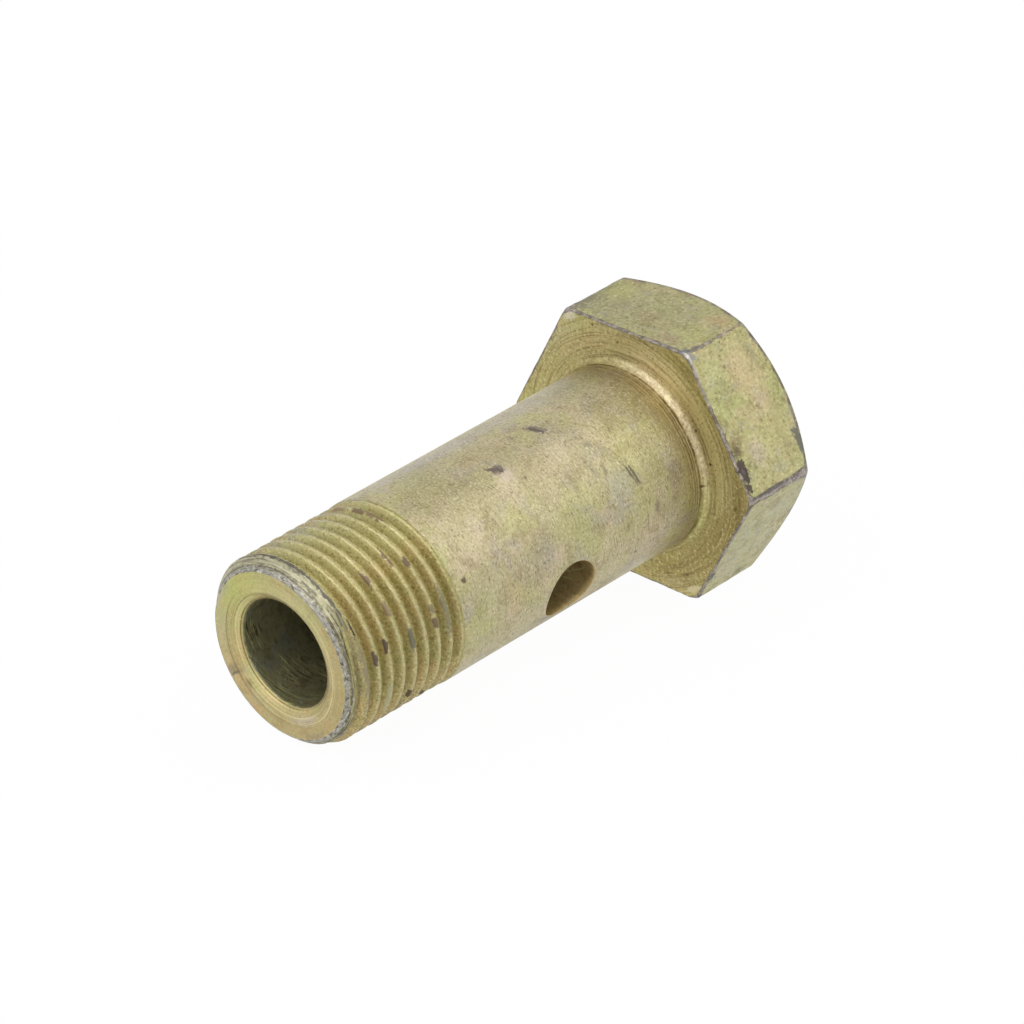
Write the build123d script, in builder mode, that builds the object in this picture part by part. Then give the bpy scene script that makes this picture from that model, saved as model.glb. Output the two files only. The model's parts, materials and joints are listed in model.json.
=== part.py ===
import os
from math import cos, pi, radians, tan

from build123d import *

# Banjo bolt: one piece of steel, turned and bored from hexagon bar. Millimetres.
# It lies along X. The bearing face under the head is at X = 0 and the threaded tip points along +X.
# +Z is up, and one flat of the head faces straight down.

# Hexagon head
across_flats = 23.5
head_sides = 6
head_height = 8.85
top_flat_inset = 0.6
top_chamfer_angle = 36.5
corner_chamfer = 0.37
corner_chamfer_angle = 45.0

# Threaded end, a blank at the thread's full diameter, with a relief groove where the thread runs out
thread_diameter = 16.66
thread_pitch = 1.337
thread_height_per_pitch = 0.6403
thread_length = 12.15
tip_chamfer_length = 1.1
chamfer_below_root = 0.12
relief_floor_length = 0.35
relief_wall_angle = 27.5
relief_below_root = 0.04

# Plain shank, where the banjo eye sits: the thread's crests lie just under its surface
shank_length = 28.95
crest_below_shank = 0.045
root_fillet = 0.7

# Passages for the fluid
bore_diameter = 9.4
drill_point_angle = 118.0
mouth_chamfer = 0.85
mouth_depth = 0.58
cross_hole_diameter = 5.5
cross_hole_distance = 15.98
cross_hole_angle = -20.2
bore_past_cross_hole = 2.2

# The seam of the turned faces runs clear of both ends of the cross hole
seam_before_cross_hole = 52.5

# Sizes that follow
flat_distance = across_flats / 2
corner_distance = flat_distance / cos(pi / head_sides)
top_flat_radius = flat_distance - top_flat_inset
top_chamfer_length = (corner_distance - top_flat_radius) * tan(radians(top_chamfer_angle))
corner_circle_radius = corner_distance - corner_chamfer
corner_chamfer_length = corner_chamfer * tan(radians(corner_chamfer_angle))

thread_radius = thread_diameter / 2
thread_root_radius = thread_radius - thread_height_per_pitch * thread_pitch
shank_radius = thread_radius + crest_below_shank
tip_radius = thread_root_radius - chamfer_below_root
relief_radius = thread_root_radius - relief_below_root
relief_slope = tan(radians(relief_wall_angle))
relief_floor_start = shank_length + (shank_radius - relief_radius) * relief_slope
relief_floor_end = relief_floor_start + relief_floor_length
relief_end = relief_floor_end + (thread_radius - relief_radius) * relief_slope
tip = shank_length + thread_length

bore_radius = bore_diameter / 2
mouth_radius = bore_radius + mouth_chamfer
cross_hole_radius = cross_hole_diameter / 2
bore_end = cross_hole_distance - cross_hole_radius - bore_past_cross_hole
drill_point_length = bore_radius / tan(radians(drill_point_angle / 2))

# The turned profiles are drawn on one plane through the axis, and the cross hole on another
turning_plane = Plane.XY.rotated((cross_hole_angle - seam_before_cross_hole, 0, 0))
cross_hole_plane = Plane.XZ.rotated((cross_hole_angle, 0, 0))

with BuildPart() as banjo_bolt:
    # The hexagon, flat side down
    with BuildSketch(Plane.YZ):
        RegularPolygon(flat_distance, head_sides, major_radius=False)
    extrude(amount=-head_height)

    # Turned limits of the head: a cone on top, and a small one that takes off the corners under it
    with BuildSketch(turning_plane):
        with BuildLine():
            Polyline(
                (-head_height, 0),
                (-head_height, top_flat_radius),
                (top_chamfer_length - head_height, corner_distance),
                (-corner_chamfer_length, corner_distance),
                (0, corner_circle_radius),
                (0, 0),
                close=True,
            )
        make_face()
    revolve(axis=Axis.X, mode=Mode.INTERSECT)

    # Shank, relief groove, thread blank and chamfered tip
    with BuildSketch(turning_plane):
        with BuildLine():
            Polyline(
                (0, 0),
                (0, shank_radius),
                (shank_length, shank_radius),
                (relief_floor_start, relief_radius),
                (relief_floor_end, relief_radius),
                (relief_end, thread_radius),
                (tip - tip_chamfer_length, thread_radius),
                (tip, tip_radius),
                (tip, 0),
                close=True,
            )
        make_face()
    revolve(axis=Axis.X)

    # Rounded root between shank and bearing face
    circles_on_bearing_face = banjo_bolt.edges().filter_by(GeomType.CIRCLE).filter_by_position(Axis.X, 0, 0)
    root = circles_on_bearing_face.sort_by(SortBy.RADIUS)[0]
    fillet(root, root_fillet)

    # Blind bore with its countersunk mouth and drill point
    with BuildSketch(turning_plane):
        with BuildLine():
            Polyline(
                (tip, 0),
                (tip, mouth_radius),
                (tip - mouth_depth, bore_radius),
                (bore_end, bore_radius),
                (bore_end - drill_point_length, 0),
                close=True,
            )
        make_face()
    revolve(axis=Axis.X, mode=Mode.SUBTRACT)

    # Cross hole, straight through both walls
    with BuildSketch(cross_hole_plane):
        with Locations((cross_hole_distance, 0)):
            Circle(cross_hole_radius)
    extrude(amount=2 * shank_radius, both=True, mode=Mode.SUBTRACT)

banjo_bolt.part.label = "banjo_bolt"

os.makedirs("parts", exist_ok=True)
export_step(banjo_bolt.part, "parts/banjo_bolt.step")
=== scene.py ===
import json
from math import atan2, ceil, cos, degrees, exp, floor, hypot, pi, radians, sin, sqrt, tan

import bpy
from mathutils import Matrix, Vector, noise


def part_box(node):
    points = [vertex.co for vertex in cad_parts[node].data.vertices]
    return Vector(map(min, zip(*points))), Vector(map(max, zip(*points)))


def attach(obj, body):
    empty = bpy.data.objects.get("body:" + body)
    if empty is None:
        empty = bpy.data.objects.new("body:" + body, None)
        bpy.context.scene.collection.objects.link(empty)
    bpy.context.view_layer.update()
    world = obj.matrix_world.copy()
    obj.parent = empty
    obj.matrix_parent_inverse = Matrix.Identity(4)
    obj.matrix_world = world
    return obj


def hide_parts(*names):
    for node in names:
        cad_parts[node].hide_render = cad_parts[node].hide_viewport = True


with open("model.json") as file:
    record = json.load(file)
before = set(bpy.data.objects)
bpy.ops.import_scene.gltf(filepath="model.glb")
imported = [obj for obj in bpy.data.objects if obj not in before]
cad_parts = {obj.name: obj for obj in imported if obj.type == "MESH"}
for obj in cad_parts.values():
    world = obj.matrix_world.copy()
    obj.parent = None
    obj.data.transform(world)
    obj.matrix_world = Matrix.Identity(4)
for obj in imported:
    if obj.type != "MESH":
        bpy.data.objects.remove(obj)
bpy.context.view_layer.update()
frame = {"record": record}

print("frame loaded")

# Lengths below are in millimetres and angles in degrees. The bolt lies along x: the bearing face
# under the head is at x = 0 and the tip points along +x. A turn of 0 is the +y side, and 90 is up.
mm = 0.001
mounts = {mount["name"]: mount for mount in frame["record"]["mounts"]}
boxLow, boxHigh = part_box("banjo_bolt")


def mountSpan(name):
    # radius, start and end along the axis
    mount = mounts[name]
    middle = mount["pos_m"][0] / mm
    half = mount["dims"]["length_mm"] / 2
    return mount["dims"]["r_mm"], middle - half, middle + half


shankRadius, shankStart, _ = mountSpan("banjo_seat")
threadRadius, _, threadEnd = mountSpan("thread")
boreRadius, boreEnd, mouthStart = mountSpan("axial_bore")
holeRadius = mounts["cross_hole"]["dims"]["r_mm"]
holePlace = mounts["cross_hole"]["pos_m"][0] / mm
holeAxis = mounts["cross_hole"]["axis"]
holeTurn = degrees(atan2(holeAxis[2], holeAxis[1]))
headTop = boxLow.x / mm
tipEnd = boxHigh.x / mm
flatDistance = boxHigh.z / mm
cornerDistance = flatDistance / cos(radians(30))


def smoothMin(a, b, blend):
    # the smaller of two, rounded where they cross
    h = max(0.0, min(1.0, 0.5 + 0.5 * (b - a) / blend))
    return b + (a - b) * h - blend * h * (1 - h)


def ease(value):
    value = max(0.0, min(1.0, value))
    return value * value * (3 - 2 * value)


def wrapTurn(turn):
    return (turn + 180) % 360 - 180


def around(turn, radius):
    return radius * cos(radians(turn)), radius * sin(radians(turn))


def lumps(x, y, z, layers):
    # layers of smooth noise: how much of each, how many millimetres across its lumps are, and its shift
    total = 0.0
    for share, size, shift in layers:
        total += share * noise.noise(Vector((x / size + shift, y / size - shift, z / size + 2 * shift)))
    return total


points, edgeGaps, crestMarks, flankMarks = [], [], [], []
faces, faceFinishes = [], []
finishNames = ["flats", "turned", "shank", "thread", "tip", "bore"]
farFromEdge = 9.0  # a gap that no wear reaches
mostOfEdge = 0.45  # the largest share of an edge that a rounding takes
arcSteps = 3  # round a rounded corner


def addPoint(x, turn, radius, edgeGap=farFromEdge, crest=0.0, flankMark=0.0):
    # edgeGap is the distance to the nearest edge that is worn bare, less than 0 on the bare strip
    y, z = around(turn, radius)
    points.append((x * mm, y * mm, z * mm))
    edgeGaps.append(min(farFromEdge, edgeGap))
    crestMarks.append(crest)
    flankMarks.append(flankMark)
    return len(points) - 1


def addRing(x, radius, turns):
    return [addPoint(x, turn, radius) for turn in turns]


def addFace(corners, finish):
    # corners that fell together are dropped
    corners = [corner for n, corner in enumerate(corners) if corner != corners[n - 1]]
    if len(set(corners)) > 2:
        faces.append(corners)
        faceFinishes.append(finishNames.index(finish))


def joinRings(before, after, finish, skipped=()):
    count = len(before)
    for n in range(count):
        if n not in skipped:
            m = (n + 1) % count
            addFace([before[n], before[m], after[m], after[n]], finish)


def joinToHalf(before, after, finish):
    # from a ring to one with half as many points
    count = len(after)
    for n in range(count):
        m = (n + 1) % count
        addFace([before[2 * n], before[2 * n + 1], before[2 * m], after[m], after[n]], finish)


def joinAll(rings, finish):
    for before, after in zip(rings, rings[1:]):
        joinRings(before, after, finish)


def roundedProfile(corners):
    # corners are (x, radius, rounding, steps to the next): gives (x, radius, distance from an edge)
    arcs = []
    for n, (x, radius, rounding, _) in enumerate(corners):
        corner = Vector((x, radius))
        if not rounding:
            arcs.append([corner])
            continue
        toBefore = Vector(corners[n - 1][:2]) - corner
        toAfter = Vector(corners[n + 1][:2]) - corner
        reach = min(rounding, mostOfEdge * toBefore.length, mostOfEdge * toAfter.length)
        start = corner + toBefore.normalized() * reach
        end = corner + toAfter.normalized() * reach
        arc = []
        for step in range(arcSteps + 1):
            s = step / arcSteps
            arc.append(start * (1 - s) ** 2 + corner * 2 * s * (1 - s) + end * s * s)
        arcs.append(arc)
    stations = []
    for n, arc in enumerate(arcs):
        isEdge = len(arc) > 1
        stations += [(point.x, point.y, 0.0 if isEdge else farFromEdge) for point in arc]
        if n == len(arcs) - 1:
            break
        start, end = arc[-1], arcs[n + 1][0]
        for step in range(1, corners[n][3]):
            point = start.lerp(end, step / corners[n][3])
            fromStart = (point - start).length if isEdge else farFromEdge
            toEnd = (end - point).length if len(arcs[n + 1]) > 1 else farFromEdge
            stations.append((point.x, point.y, min(fromStart, toEnd)))
    return stations


# The head, from the middle of its top to the root of the shank. Bare strips: how far each edge is
# rubbed down to the steel. Lumps: how much of each layer of noise, its size and its shift
print("head")
headSettings = {
    "topFlatInset": 0.6,
    "topChamferAngle": 36.5,
    "topEdgeRound": 0.16,
    "rimRound": 0.22,
    "cornerCircleInset": 0.37,
    "cornerCircleBlend": 0.12,
    "bearingEdgeWear": 0.09,
    "bearingEdgeVary": 0.08,
    "bearingEdgeLeast": 0.04,
    "bearingEdgeLumps": [(0.6, 1.6, 3.1), (0.4, 0.5, 7.7)],
    "edgeRound": 0.05,
    "ridgeWear": {0: 0.15, 60: 0.07, 120: 0.12, 180: 0.1, 240: 0.14, 300: 0.08},
    "ridgeLumps": [(0.5, 1.3, 1.7), (0.35, 0.4, 5.2)],
    "ridgeBlend": 0.05,
    "ridgeBare": {
        0: (0.34, 0.5),
        60: (0.14, -0.08),
        120: (0.3, 0.1),
        180: (0.2, 0.1),
        240: (0.2, 0.4),
        300: (0.1, 0.15),
    },
    "bearingEdgeBare": 0.07,
    "rimBare": -0.02,
    "faceEdgeBare": -0.06,
    "sideFrom": 0.05,
    "sideTo": 0.02,
    "faceTolerance": 0.001,
    "topMiddle": 3.0,
    "fineFaceRadius": 10.6,
    "sideSteps": 16,
    "sectorSteps": 80,
    "cornerCrowding": 1.45,
}
rootSettings = {"faceRings": (10.35, 10.05, 9.75, 9.45, 9.22), "filletSteps": 8}
topFlatRadius = flatDistance - headSettings["topFlatInset"]
topSlope = tan(radians(headSettings["topChamferAngle"]))
cornerCircle = cornerDistance - headSettings["cornerCircleInset"]
rootFillet = shankStart
faceInner = shankRadius + rootFillet


def columnTurns(steps, crowding):
    # columns that crowd towards the six corners
    turns = []
    for corner in range(0, 360, 60):
        for step in range(steps):
            u = 2 * step / steps - 1
            turns.append(corner + 30 * abs(u) ** crowding * (1 if u > 0 else -1))
    return turns


fineTurns = columnTurns(headSettings["sectorSteps"], headSettings["cornerCrowding"])
shankTurns = fineTurns[::2]
boreTurns = fineTurns[::4]


def fromCorner(turn):
    return (turn + 30) % 60 - 30


def nearestCorner(turn):
    return round(turn / 60) % 6 * 60


def flatRadius(turn):
    # distance from the axis to the sharp hexagon
    return flatDistance / cos(radians(30 - abs(fromCorner(turn))))


def ridgeDistance(turn):
    return flatDistance * (tan(radians(30)) - tan(radians(30 - abs(fromCorner(turn)))))


def ridgeBare(x, corner):
    # how far a ridge is worn bare: its widths at the bearing face and at the top
    low, high = headSettings["ridgeBare"][corner]
    return low + (high - low) * x / headTop


def ridgeCut(x, turn, radius):
    # the worn ridge between two flats
    corner = nearestCorner(turn)
    wear = headSettings["ridgeWear"][corner] * (1 + lumps(x, corner, 0, headSettings["ridgeLumps"]))
    ridge = (cornerDistance - wear) / cos(radians(wrapTurn(turn - corner)))
    return smoothMin(radius, ridge, headSettings["ridgeBlend"])


def bearingEdgeCut(turn, radius):
    # how far the edge under the head is broken: a worn strip, and the turned-off corners
    y, z = around(turn, radius)
    vary = headSettings["bearingEdgeVary"] * lumps(0, y, z, headSettings["bearingEdgeLumps"])
    wear = max(headSettings["bearingEdgeLeast"], headSettings["bearingEdgeWear"] + vary)
    return -smoothMin(-wear, cornerCircle - radius, headSettings["cornerCircleBlend"])


headProfiles, edgeCuts = [], []
for turn in fineTurns:
    radius = flatRadius(turn)
    cut = bearingEdgeCut(turn, radius)
    edgeCuts.append(cut)
    coneFoot = headTop + (radius - topFlatRadius) * topSlope
    headProfiles.append(
        roundedProfile(
            [
                (headTop, headSettings["topMiddle"], 0, 4),
                (headTop, topFlatRadius, headSettings["topEdgeRound"], 4),
                (coneFoot, radius, headSettings["rimRound"], headSettings["sideSteps"]),
                (-cut, radius, headSettings["edgeRound"], 2),
                (0, radius - cut, headSettings["edgeRound"], 5),
                (0, headSettings["fineFaceRadius"], 0, 1),
            ]
        )
    )
headRings = []
for station in range(len(headProfiles[0])):
    ring = []
    for turn, profile, cut in zip(fineTurns, headProfiles, edgeCuts):
        x, radius, edgeDistance = profile[station]
        if headTop + headSettings["sideFrom"] < x < -headSettings["sideTo"]:
            edgeBare = "bearingEdgeBare" if x > headTop / 2 else "rimBare"
            gap = min(
                edgeDistance - headSettings[edgeBare],
                ridgeDistance(turn) - ridgeBare(x, nearestCorner(turn)),
            )
            radius = ridgeCut(x, turn, radius)
        else:
            gap = edgeDistance - headSettings["faceEdgeBare"]
        if -cut < x < -headSettings["faceTolerance"]:
            gap = min(gap, -headSettings["bearingEdgeBare"])
        ring.append(addPoint(x, turn, radius, gap))
    headRings.append(ring)
topMiddle = addPoint(headTop, 0, 0)
for n in range(len(fineTurns)):
    addFace([topMiddle, headRings[0][(n + 1) % len(fineTurns)], headRings[0][n]], "flats")
faceStations = 6  # the last stations of the profile lie on the bearing face
joinAll(headRings[:-faceStations], "flats")
joinAll(headRings[-faceStations - 1 :], "turned")

rootRings = [addRing(0, radius, shankTurns) for radius in rootSettings["faceRings"]]
joinToHalf(headRings[-1], rootRings[0], "turned")
for step in range(rootSettings["filletSteps"]):
    angle = pi / 2 * step / rootSettings["filletSteps"]
    x, radius = rootFillet * (1 - cos(angle)), faceInner - rootFillet * sin(angle)
    rootRings.append(addRing(x, radius, shankTurns))
joinAll(rootRings, "turned")

# The shank, with a square left open round each end of the cross hole. Root lines: place, depth and
# half width of each. Dents: where they are, how long and wide, which way they lie and how deep
print("shank")
shankSettings = {
    "ringStep": 0.32,
    "rootLines": [(0.86, 0.05, 0.07), (1.12, 0.035, 0.06), (1.45, 0.02, 0.05)],
    "afterLines": 0.1,
    "grooveEdge": 28.4,
    "dents": [
        {"x": 18.63, "turn": 69.9, "length": 1.1, "width": 0.7, "lean": 25, "depth": 0.07},
        {"x": 12.44, "turn": 81.2, "length": 1.35, "width": 0.42, "lean": 62, "depth": 0.06},
        {"x": 7.63, "turn": 28.8, "length": 1.7, "width": 0.45, "lean": 70, "depth": 0.03},
    ],
    "dentReach": 2.0,
}
holeSettings = {
    "patchHalfLength": 4.2,
    "patchHalfTurn": 29,
    "borePatchHalfLength": 3.5,
    "borePatchHalfTurn": 45,
    "loopSteps": 128,
    "edgeBreak": 0.1,
    "edgeRounding": [(0.04, 0.035), (0.1, 0.0)],
    "wallSteps": 7,
    "surfaceShares": (0.78, 0.56, 0.38, 0.24, 0.13, 0.05, 0.0),
    "boreShares": (0.6, 0.25),
}


def dentDepth(x, turn, radius):
    deepest = 0.0
    for dent in shankSettings["dents"]:
        across = radians(wrapTurn(turn - dent["turn"])) * radius
        along = x - dent["x"]
        if max(abs(across), abs(along)) > shankSettings["dentReach"]:
            continue
        lean = radians(dent["lean"])
        u = (along * cos(lean) + across * sin(lean)) * 2 / dent["length"]
        v = (across * cos(lean) - along * sin(lean)) * 2 / dent["width"]
        deepest = max(deepest, dent["depth"] * exp(-u * u - v * v))
    return deepest


def shankSurface(x, turn):
    radius = shankRadius
    for lineX, depth, halfWidth in shankSettings["rootLines"]:
        radius -= depth * max(0.0, 1 - abs(x - lineX) / halfWidth)
    return radius - dentDepth(x, turn, shankRadius)


def withinTurn(turns, middle, half):
    # the columns this near to a turn, in order round the axis
    near = [(wrapTurn(turn - middle), n) for n, turn in enumerate(turns)]
    return [n for offset, n in sorted(near) if abs(offset) <= half]


def evenly(start, end, steps):
    return [start + (end - start) * step / steps for step in range(steps)]


def openColumns(columnSets):
    return set(columnSets[0][:-1] + columnSets[1][:-1])


holeTurns = [holeTurn, holeTurn + 180]
patchColumns = [withinTurn(shankTurns, turn, holeSettings["patchHalfTurn"]) for turn in holeTurns]
patchSteps = holeSettings["loopSteps"] // 2 - (len(patchColumns[0]) - 1)
patchStart = holePlace - holeSettings["patchHalfLength"]
patchEnd = holePlace + holeSettings["patchHalfLength"]
grooveEdge, ringStep = shankSettings["grooveEdge"], shankSettings["ringStep"]
shankXs = [shankStart]
for lineX, _, halfWidth in shankSettings["rootLines"]:
    shankXs += [lineX - halfWidth, lineX, lineX + halfWidth]
afterLines = shankXs[-1] + shankSettings["afterLines"]
shankXs += evenly(afterLines, patchStart, ceil((patchStart - afterLines) / ringStep))
firstPatchRing = len(shankXs)
shankXs += evenly(patchStart, patchEnd, patchSteps)
lastPatchRing = len(shankXs)
shankXs += evenly(patchEnd, grooveEdge, ceil((grooveEdge - patchEnd) / ringStep))
shankXs.append(grooveEdge)
shankRings = []
for x in shankXs:
    shankRings.append([addPoint(x, turn, shankSurface(x, turn)) for turn in shankTurns])
joinRings(rootRings[-1], shankRings[0], "turned")
for n, (before, after) in enumerate(zip(shankRings, shankRings[1:])):
    inPatch = firstPatchRing <= n < lastPatchRing
    joinRings(before, after, "shank", openColumns(patchColumns) if inPatch else ())

# Each end of the cross hole: the shank's surface round it, its broken edge and its wall
print("cross hole")


def patchLoop(rings, columns):
    # round the open square, starting along its first ring
    loop = [rings[0][column] for column in columns[:-1]]
    loop += [ring[columns[-1]] for ring in rings[:-1]]
    loop += [rings[-1][column] for column in reversed(columns[1:])]
    loop += [ring[columns[0]] for ring in reversed(rings[1:])]
    return loop


def holeView(point, turn):
    # a point seen along the cross hole: along the bolt, across it, and its height
    angle = radians(turn)
    x, y, z = (value / mm for value in points[point])
    return x - holePlace, z * cos(angle) - y * sin(angle), y * cos(angle) + z * sin(angle)


def addHolePoint(u, w, height, turn):
    return addPoint(holePlace + u, turn + degrees(atan2(w, height)), hypot(w, height))


def surfaceHeight(w, radius):
    return sqrt(radius**2 - w * w)


def surfaceLoops(outer, targets, shares, radius, turn):
    # loops on a round surface that close in from the square's edge on (u, w) targets
    loops = [outer]
    seen = [holeView(point, turn) for point in outer]
    for share in shares:
        loop = []
        for (u, w, _), (nearU, nearW) in zip(seen, targets):
            u, w = nearU + (u - nearU) * share, nearW + (w - nearW) * share
            loop.append(addHolePoint(u, w, surfaceHeight(w, radius), turn))
        loops.append(loop)
    return loops


def loopAngles(loop, turn):
    seen = [holeView(point, turn) for point in loop]
    return [atan2(w, u) for u, w, _ in seen]


def holeCircle(angles, radius):
    return [(radius * cos(angle), radius * sin(angle)) for angle in angles]


wallFeet = []
edgeBreak = holeSettings["edgeBreak"]
for turn, columns in zip(holeTurns, patchColumns):
    outer = patchLoop(shankRings[firstPatchRing : lastPatchRing + 1], columns)
    angles = loopAngles(outer, turn)
    targets = holeCircle(angles, holeRadius + edgeBreak)
    loops = surfaceLoops(outer, targets, holeSettings["surfaceShares"], shankRadius, turn)
    joinAll(loops, "shank")
    walls = [loops[-1]]
    for sink, spread in holeSettings["edgeRounding"]:
        loop = []
        for u, w in holeCircle(angles, holeRadius + spread):
            loop.append(addHolePoint(u, w, surfaceHeight(w, shankRadius) - sink, turn))
        walls.append(loop)
    for step in range(1, holeSettings["wallSteps"] + 1):
        loop = []
        for u, w in holeCircle(angles, holeRadius):
            top = surfaceHeight(w, shankRadius) - edgeBreak
            foot = surfaceHeight(w, boreRadius)
            loop.append(addHolePoint(u, w, top + (foot - top) * step / holeSettings["wallSteps"], turn))
        walls.append(loop)
    joinAll(walls, "bore")
    wallFeet.append((walls[-1], angles))

# The thread: one groove that runs in at the end of the shank and runs out on the chamfered tip.
# The run-in and the run-out are in turns along the helix: where they begin and how long they are
print("thread")
threadSettings = {
    "pitch": 1.337,
    "crestAt": 34.17,
    "depthPerPitch": 0.6403,
    "roundPerPitch": 0.1373,
    "flankAngle": 27.5,
    "chamferBelowRoot": 0.12,
    "chamferBlend": 0.05,
    "chamferWear": 0.05,
    "chamferLumps": [(1.0, 0.5, 4.4)],
    "crestWear": 0.05,
    "crestLumps": [(1.0, 1.1, 2.3), (0.6, 0.35, 9.1)],
    "crestBlend": 0.03,
    "plainCrest": 0.4,
    "runIn": (-4.35, 0.12),
    "runOut": (4.03, 0.12),
    "undercut": 0.08,
    "undercutPlace": 0.16,
    "undercutWidth": 0.07,
    "stepWidth": 0.1,
    "stepReach": 0.5,
    "notStarted": 0.01,
    "finishAhead": 0.2,
    "finishAfter": 0.06,
    "spareTurns": 3,
    "rowShares": (-0.5, -0.42, -0.34, -0.24, -0.14, -0.09, -0.045, 0, 0.045, 0.09, 0.14, 0.24, 0.34, 0.42),
    "leastGap": 0.012,
}
tipSettings = {
    "edgeRound": 0.12,
    "edgeBare": 0.04,
    "faceRadius": 6.4,
    "mouthRing": 6.1,
    "mouthRadius": 5.55,
    "mouthRound": 0.25,
    "boreEdgeRound": 0.2,
    "mouthDepth": 2.5,
    "boreStart": 3.3,
    "stepsToHole": 24,
    "beforeDrillPoint": 0.6,
    "drillAngle": 118,
    "drillShares": (0.25, 0.5, 0.75, 0.92),
}
pitch = threadSettings["pitch"]
threadDepth = threadSettings["depthPerPitch"] * pitch
rootRadius = threadRadius - threadDepth
crestRound = threadSettings["roundPerPitch"] * pitch
flankAngle = radians(threadSettings["flankAngle"])
tipRadius = rootRadius - threadSettings["chamferBelowRoot"]
chamferSlope = (threadRadius - tipRadius) / (tipEnd - threadEnd)


def threadForm(share):
    # radius at a share of the pitch from the crest, with rounded crest and root
    away = abs((share + 0.5) % 1 - 0.5) * pitch
    arcReach = crestRound * cos(flankAngle)
    if away < arcReach:
        return threadRadius - crestRound + sqrt(crestRound**2 - away**2)
    fromRoot = pitch / 2 - away
    if fromRoot < arcReach:
        return rootRadius + crestRound - sqrt(crestRound**2 - fromRoot**2)
    return threadRadius - crestRound * (1 - sin(flankAngle)) - (away - arcReach) / tan(flankAngle)


def helixPlace(x, turn):
    # pitches from the crest at turn 0, and how many turns along its helix the groove there has run
    share = (x - threadSettings["crestAt"]) / pitch - wrapTurn(turn) / 360
    return share, floor(share) + wrapTurn(turn) / 360


def threadSurface(x, turn):
    # gives the radius, how near the crest it is and which flank it is on
    share, helix = helixPlace(x, turn)
    runIn, inLength = threadSettings["runIn"]
    runOut, outLength = threadSettings["runOut"]
    started = ease((helix - runIn) / inLength)
    cut = started * (1 - ease((helix - runOut) / outLength))
    y, z = around(turn, threadRadius)
    wear = threadSettings["crestWear"] * (0.5 + lumps(x, y, z, threadSettings["crestLumps"]))
    form = smoothMin(threadForm(share), threadRadius - max(0.0, wear), threadSettings["crestBlend"])
    plain = shankRadius + (threadRadius - shankRadius) * started
    radius = plain + (form - plain) * cut
    plainCrest = threadSettings["plainCrest"]
    crest = plainCrest + ((form - rootRadius) / threadDepth - plainCrest) * cut
    beforeRidge = (floor(share) + 1 - share) * pitch
    if started < threadSettings["notStarted"] and beforeRidge < threadSettings["stepReach"]:
        # the shoulder just before the first groove, and the small undercut at its foot
        nextStarted = ease((helix + 1 - runIn) / inLength)
        step = (shankRadius - threadRadius) * ease(1 - beforeRidge / threadSettings["stepWidth"])
        fromUndercut = (beforeRidge - threadSettings["undercutPlace"]) / threadSettings["undercutWidth"]
        radius -= nextStarted * (step + threadSettings["undercut"] * exp(-(fromUndercut**2)))
    chamferWear = threadSettings["chamferWear"] * lumps(x, y, z, threadSettings["chamferLumps"])
    chamfer = tipRadius + (tipEnd - x) * chamferSlope - max(0.0, chamferWear)
    radius = smoothMin(radius, chamfer, threadSettings["chamferBlend"])
    return radius - dentDepth(x, turn, threadRadius), crest, sin(2 * pi * share) * cut


def addThreadPoint(x, turn):
    radius, crest, flankMark = threadSurface(x, turn)
    return addPoint(x, turn, radius, farFromEdge, crest, flankMark)


rowShares = threadSettings["rowShares"]
startRing = shankRings[-1]
zoneEnd = tipEnd - tipSettings["edgeRound"]
endRing = [addThreadPoint(zoneEnd, turn) for turn in shankTurns]
threadPoints = {}


def threadX(row, column):
    wholeTurns = row // len(rowShares) + rowShares[row % len(rowShares)] + shankTurns[column] / 360
    return threadSettings["crestAt"] + wholeTurns * pitch


def threadPoint(row, column):
    if column == len(shankTurns):
        row, column = row + len(rowShares), 0
    x = threadX(row, column)
    if x < grooveEdge + threadSettings["leastGap"]:
        return startRing[column]
    if x > zoneEnd - threadSettings["leastGap"]:
        return endRing[column]
    if (row, column) not in threadPoints:
        threadPoints[row, column] = addThreadPoint(x, shankTurns[column])
    return threadPoints[row, column]


spareTurns = threadSettings["spareTurns"]
firstRow = (int((grooveEdge - threadSettings["crestAt"]) / pitch) - spareTurns) * len(rowShares)
lastRow = (int((zoneEnd - threadSettings["crestAt"]) / pitch) + spareTurns) * len(rowShares)
threadFrom = threadSettings["runIn"][0] + threadSettings["finishAfter"]
for row in range(firstRow, lastRow):
    for column in range(len(shankTurns)):
        corners = [threadPoint(row, column), threadPoint(row, column + 1)]
        corners += [threadPoint(row + 1, column + 1), threadPoint(row + 1, column)]
        x = threadX(row, column) + threadSettings["finishAhead"] * pitch
        _, helix = helixPlace(x, shankTurns[column])
        addFace(corners, "shank" if helix < threadFrom else "thread")

# The end face, the mouth and the bore
print("bore")
tipProfile = roundedProfile(
    [
        (zoneEnd, tipRadius + (tipEnd - zoneEnd) * chamferSlope, 0, 1),
        (tipEnd, tipRadius, tipSettings["edgeRound"], 3),
        (tipEnd, tipSettings["faceRadius"], 0, 1),
    ]
)
tipRings = [endRing]
for x, radius, edgeDistance in tipProfile[1:]:
    gap = edgeDistance - tipSettings["edgeBare"] if x == tipEnd else farFromEdge
    tipRings.append([addPoint(x, turn, radius, gap, threadSettings["plainCrest"]) for turn in shankTurns])
roundedStations = 4  # the first stations round the tip's edge
joinAll(tipRings[: roundedStations + 1], "thread")
joinAll(tipRings[roundedStations:], "tip")
mouthProfile = roundedProfile(
    [
        (tipEnd, tipSettings["mouthRing"], 0, 3),
        (tipEnd, tipSettings["mouthRadius"], tipSettings["mouthRound"], 3),
        (mouthStart, boreRadius, tipSettings["boreEdgeRound"], 5),
        (mouthStart - tipSettings["mouthDepth"], boreRadius, 0, 1),
    ]
)
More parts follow.
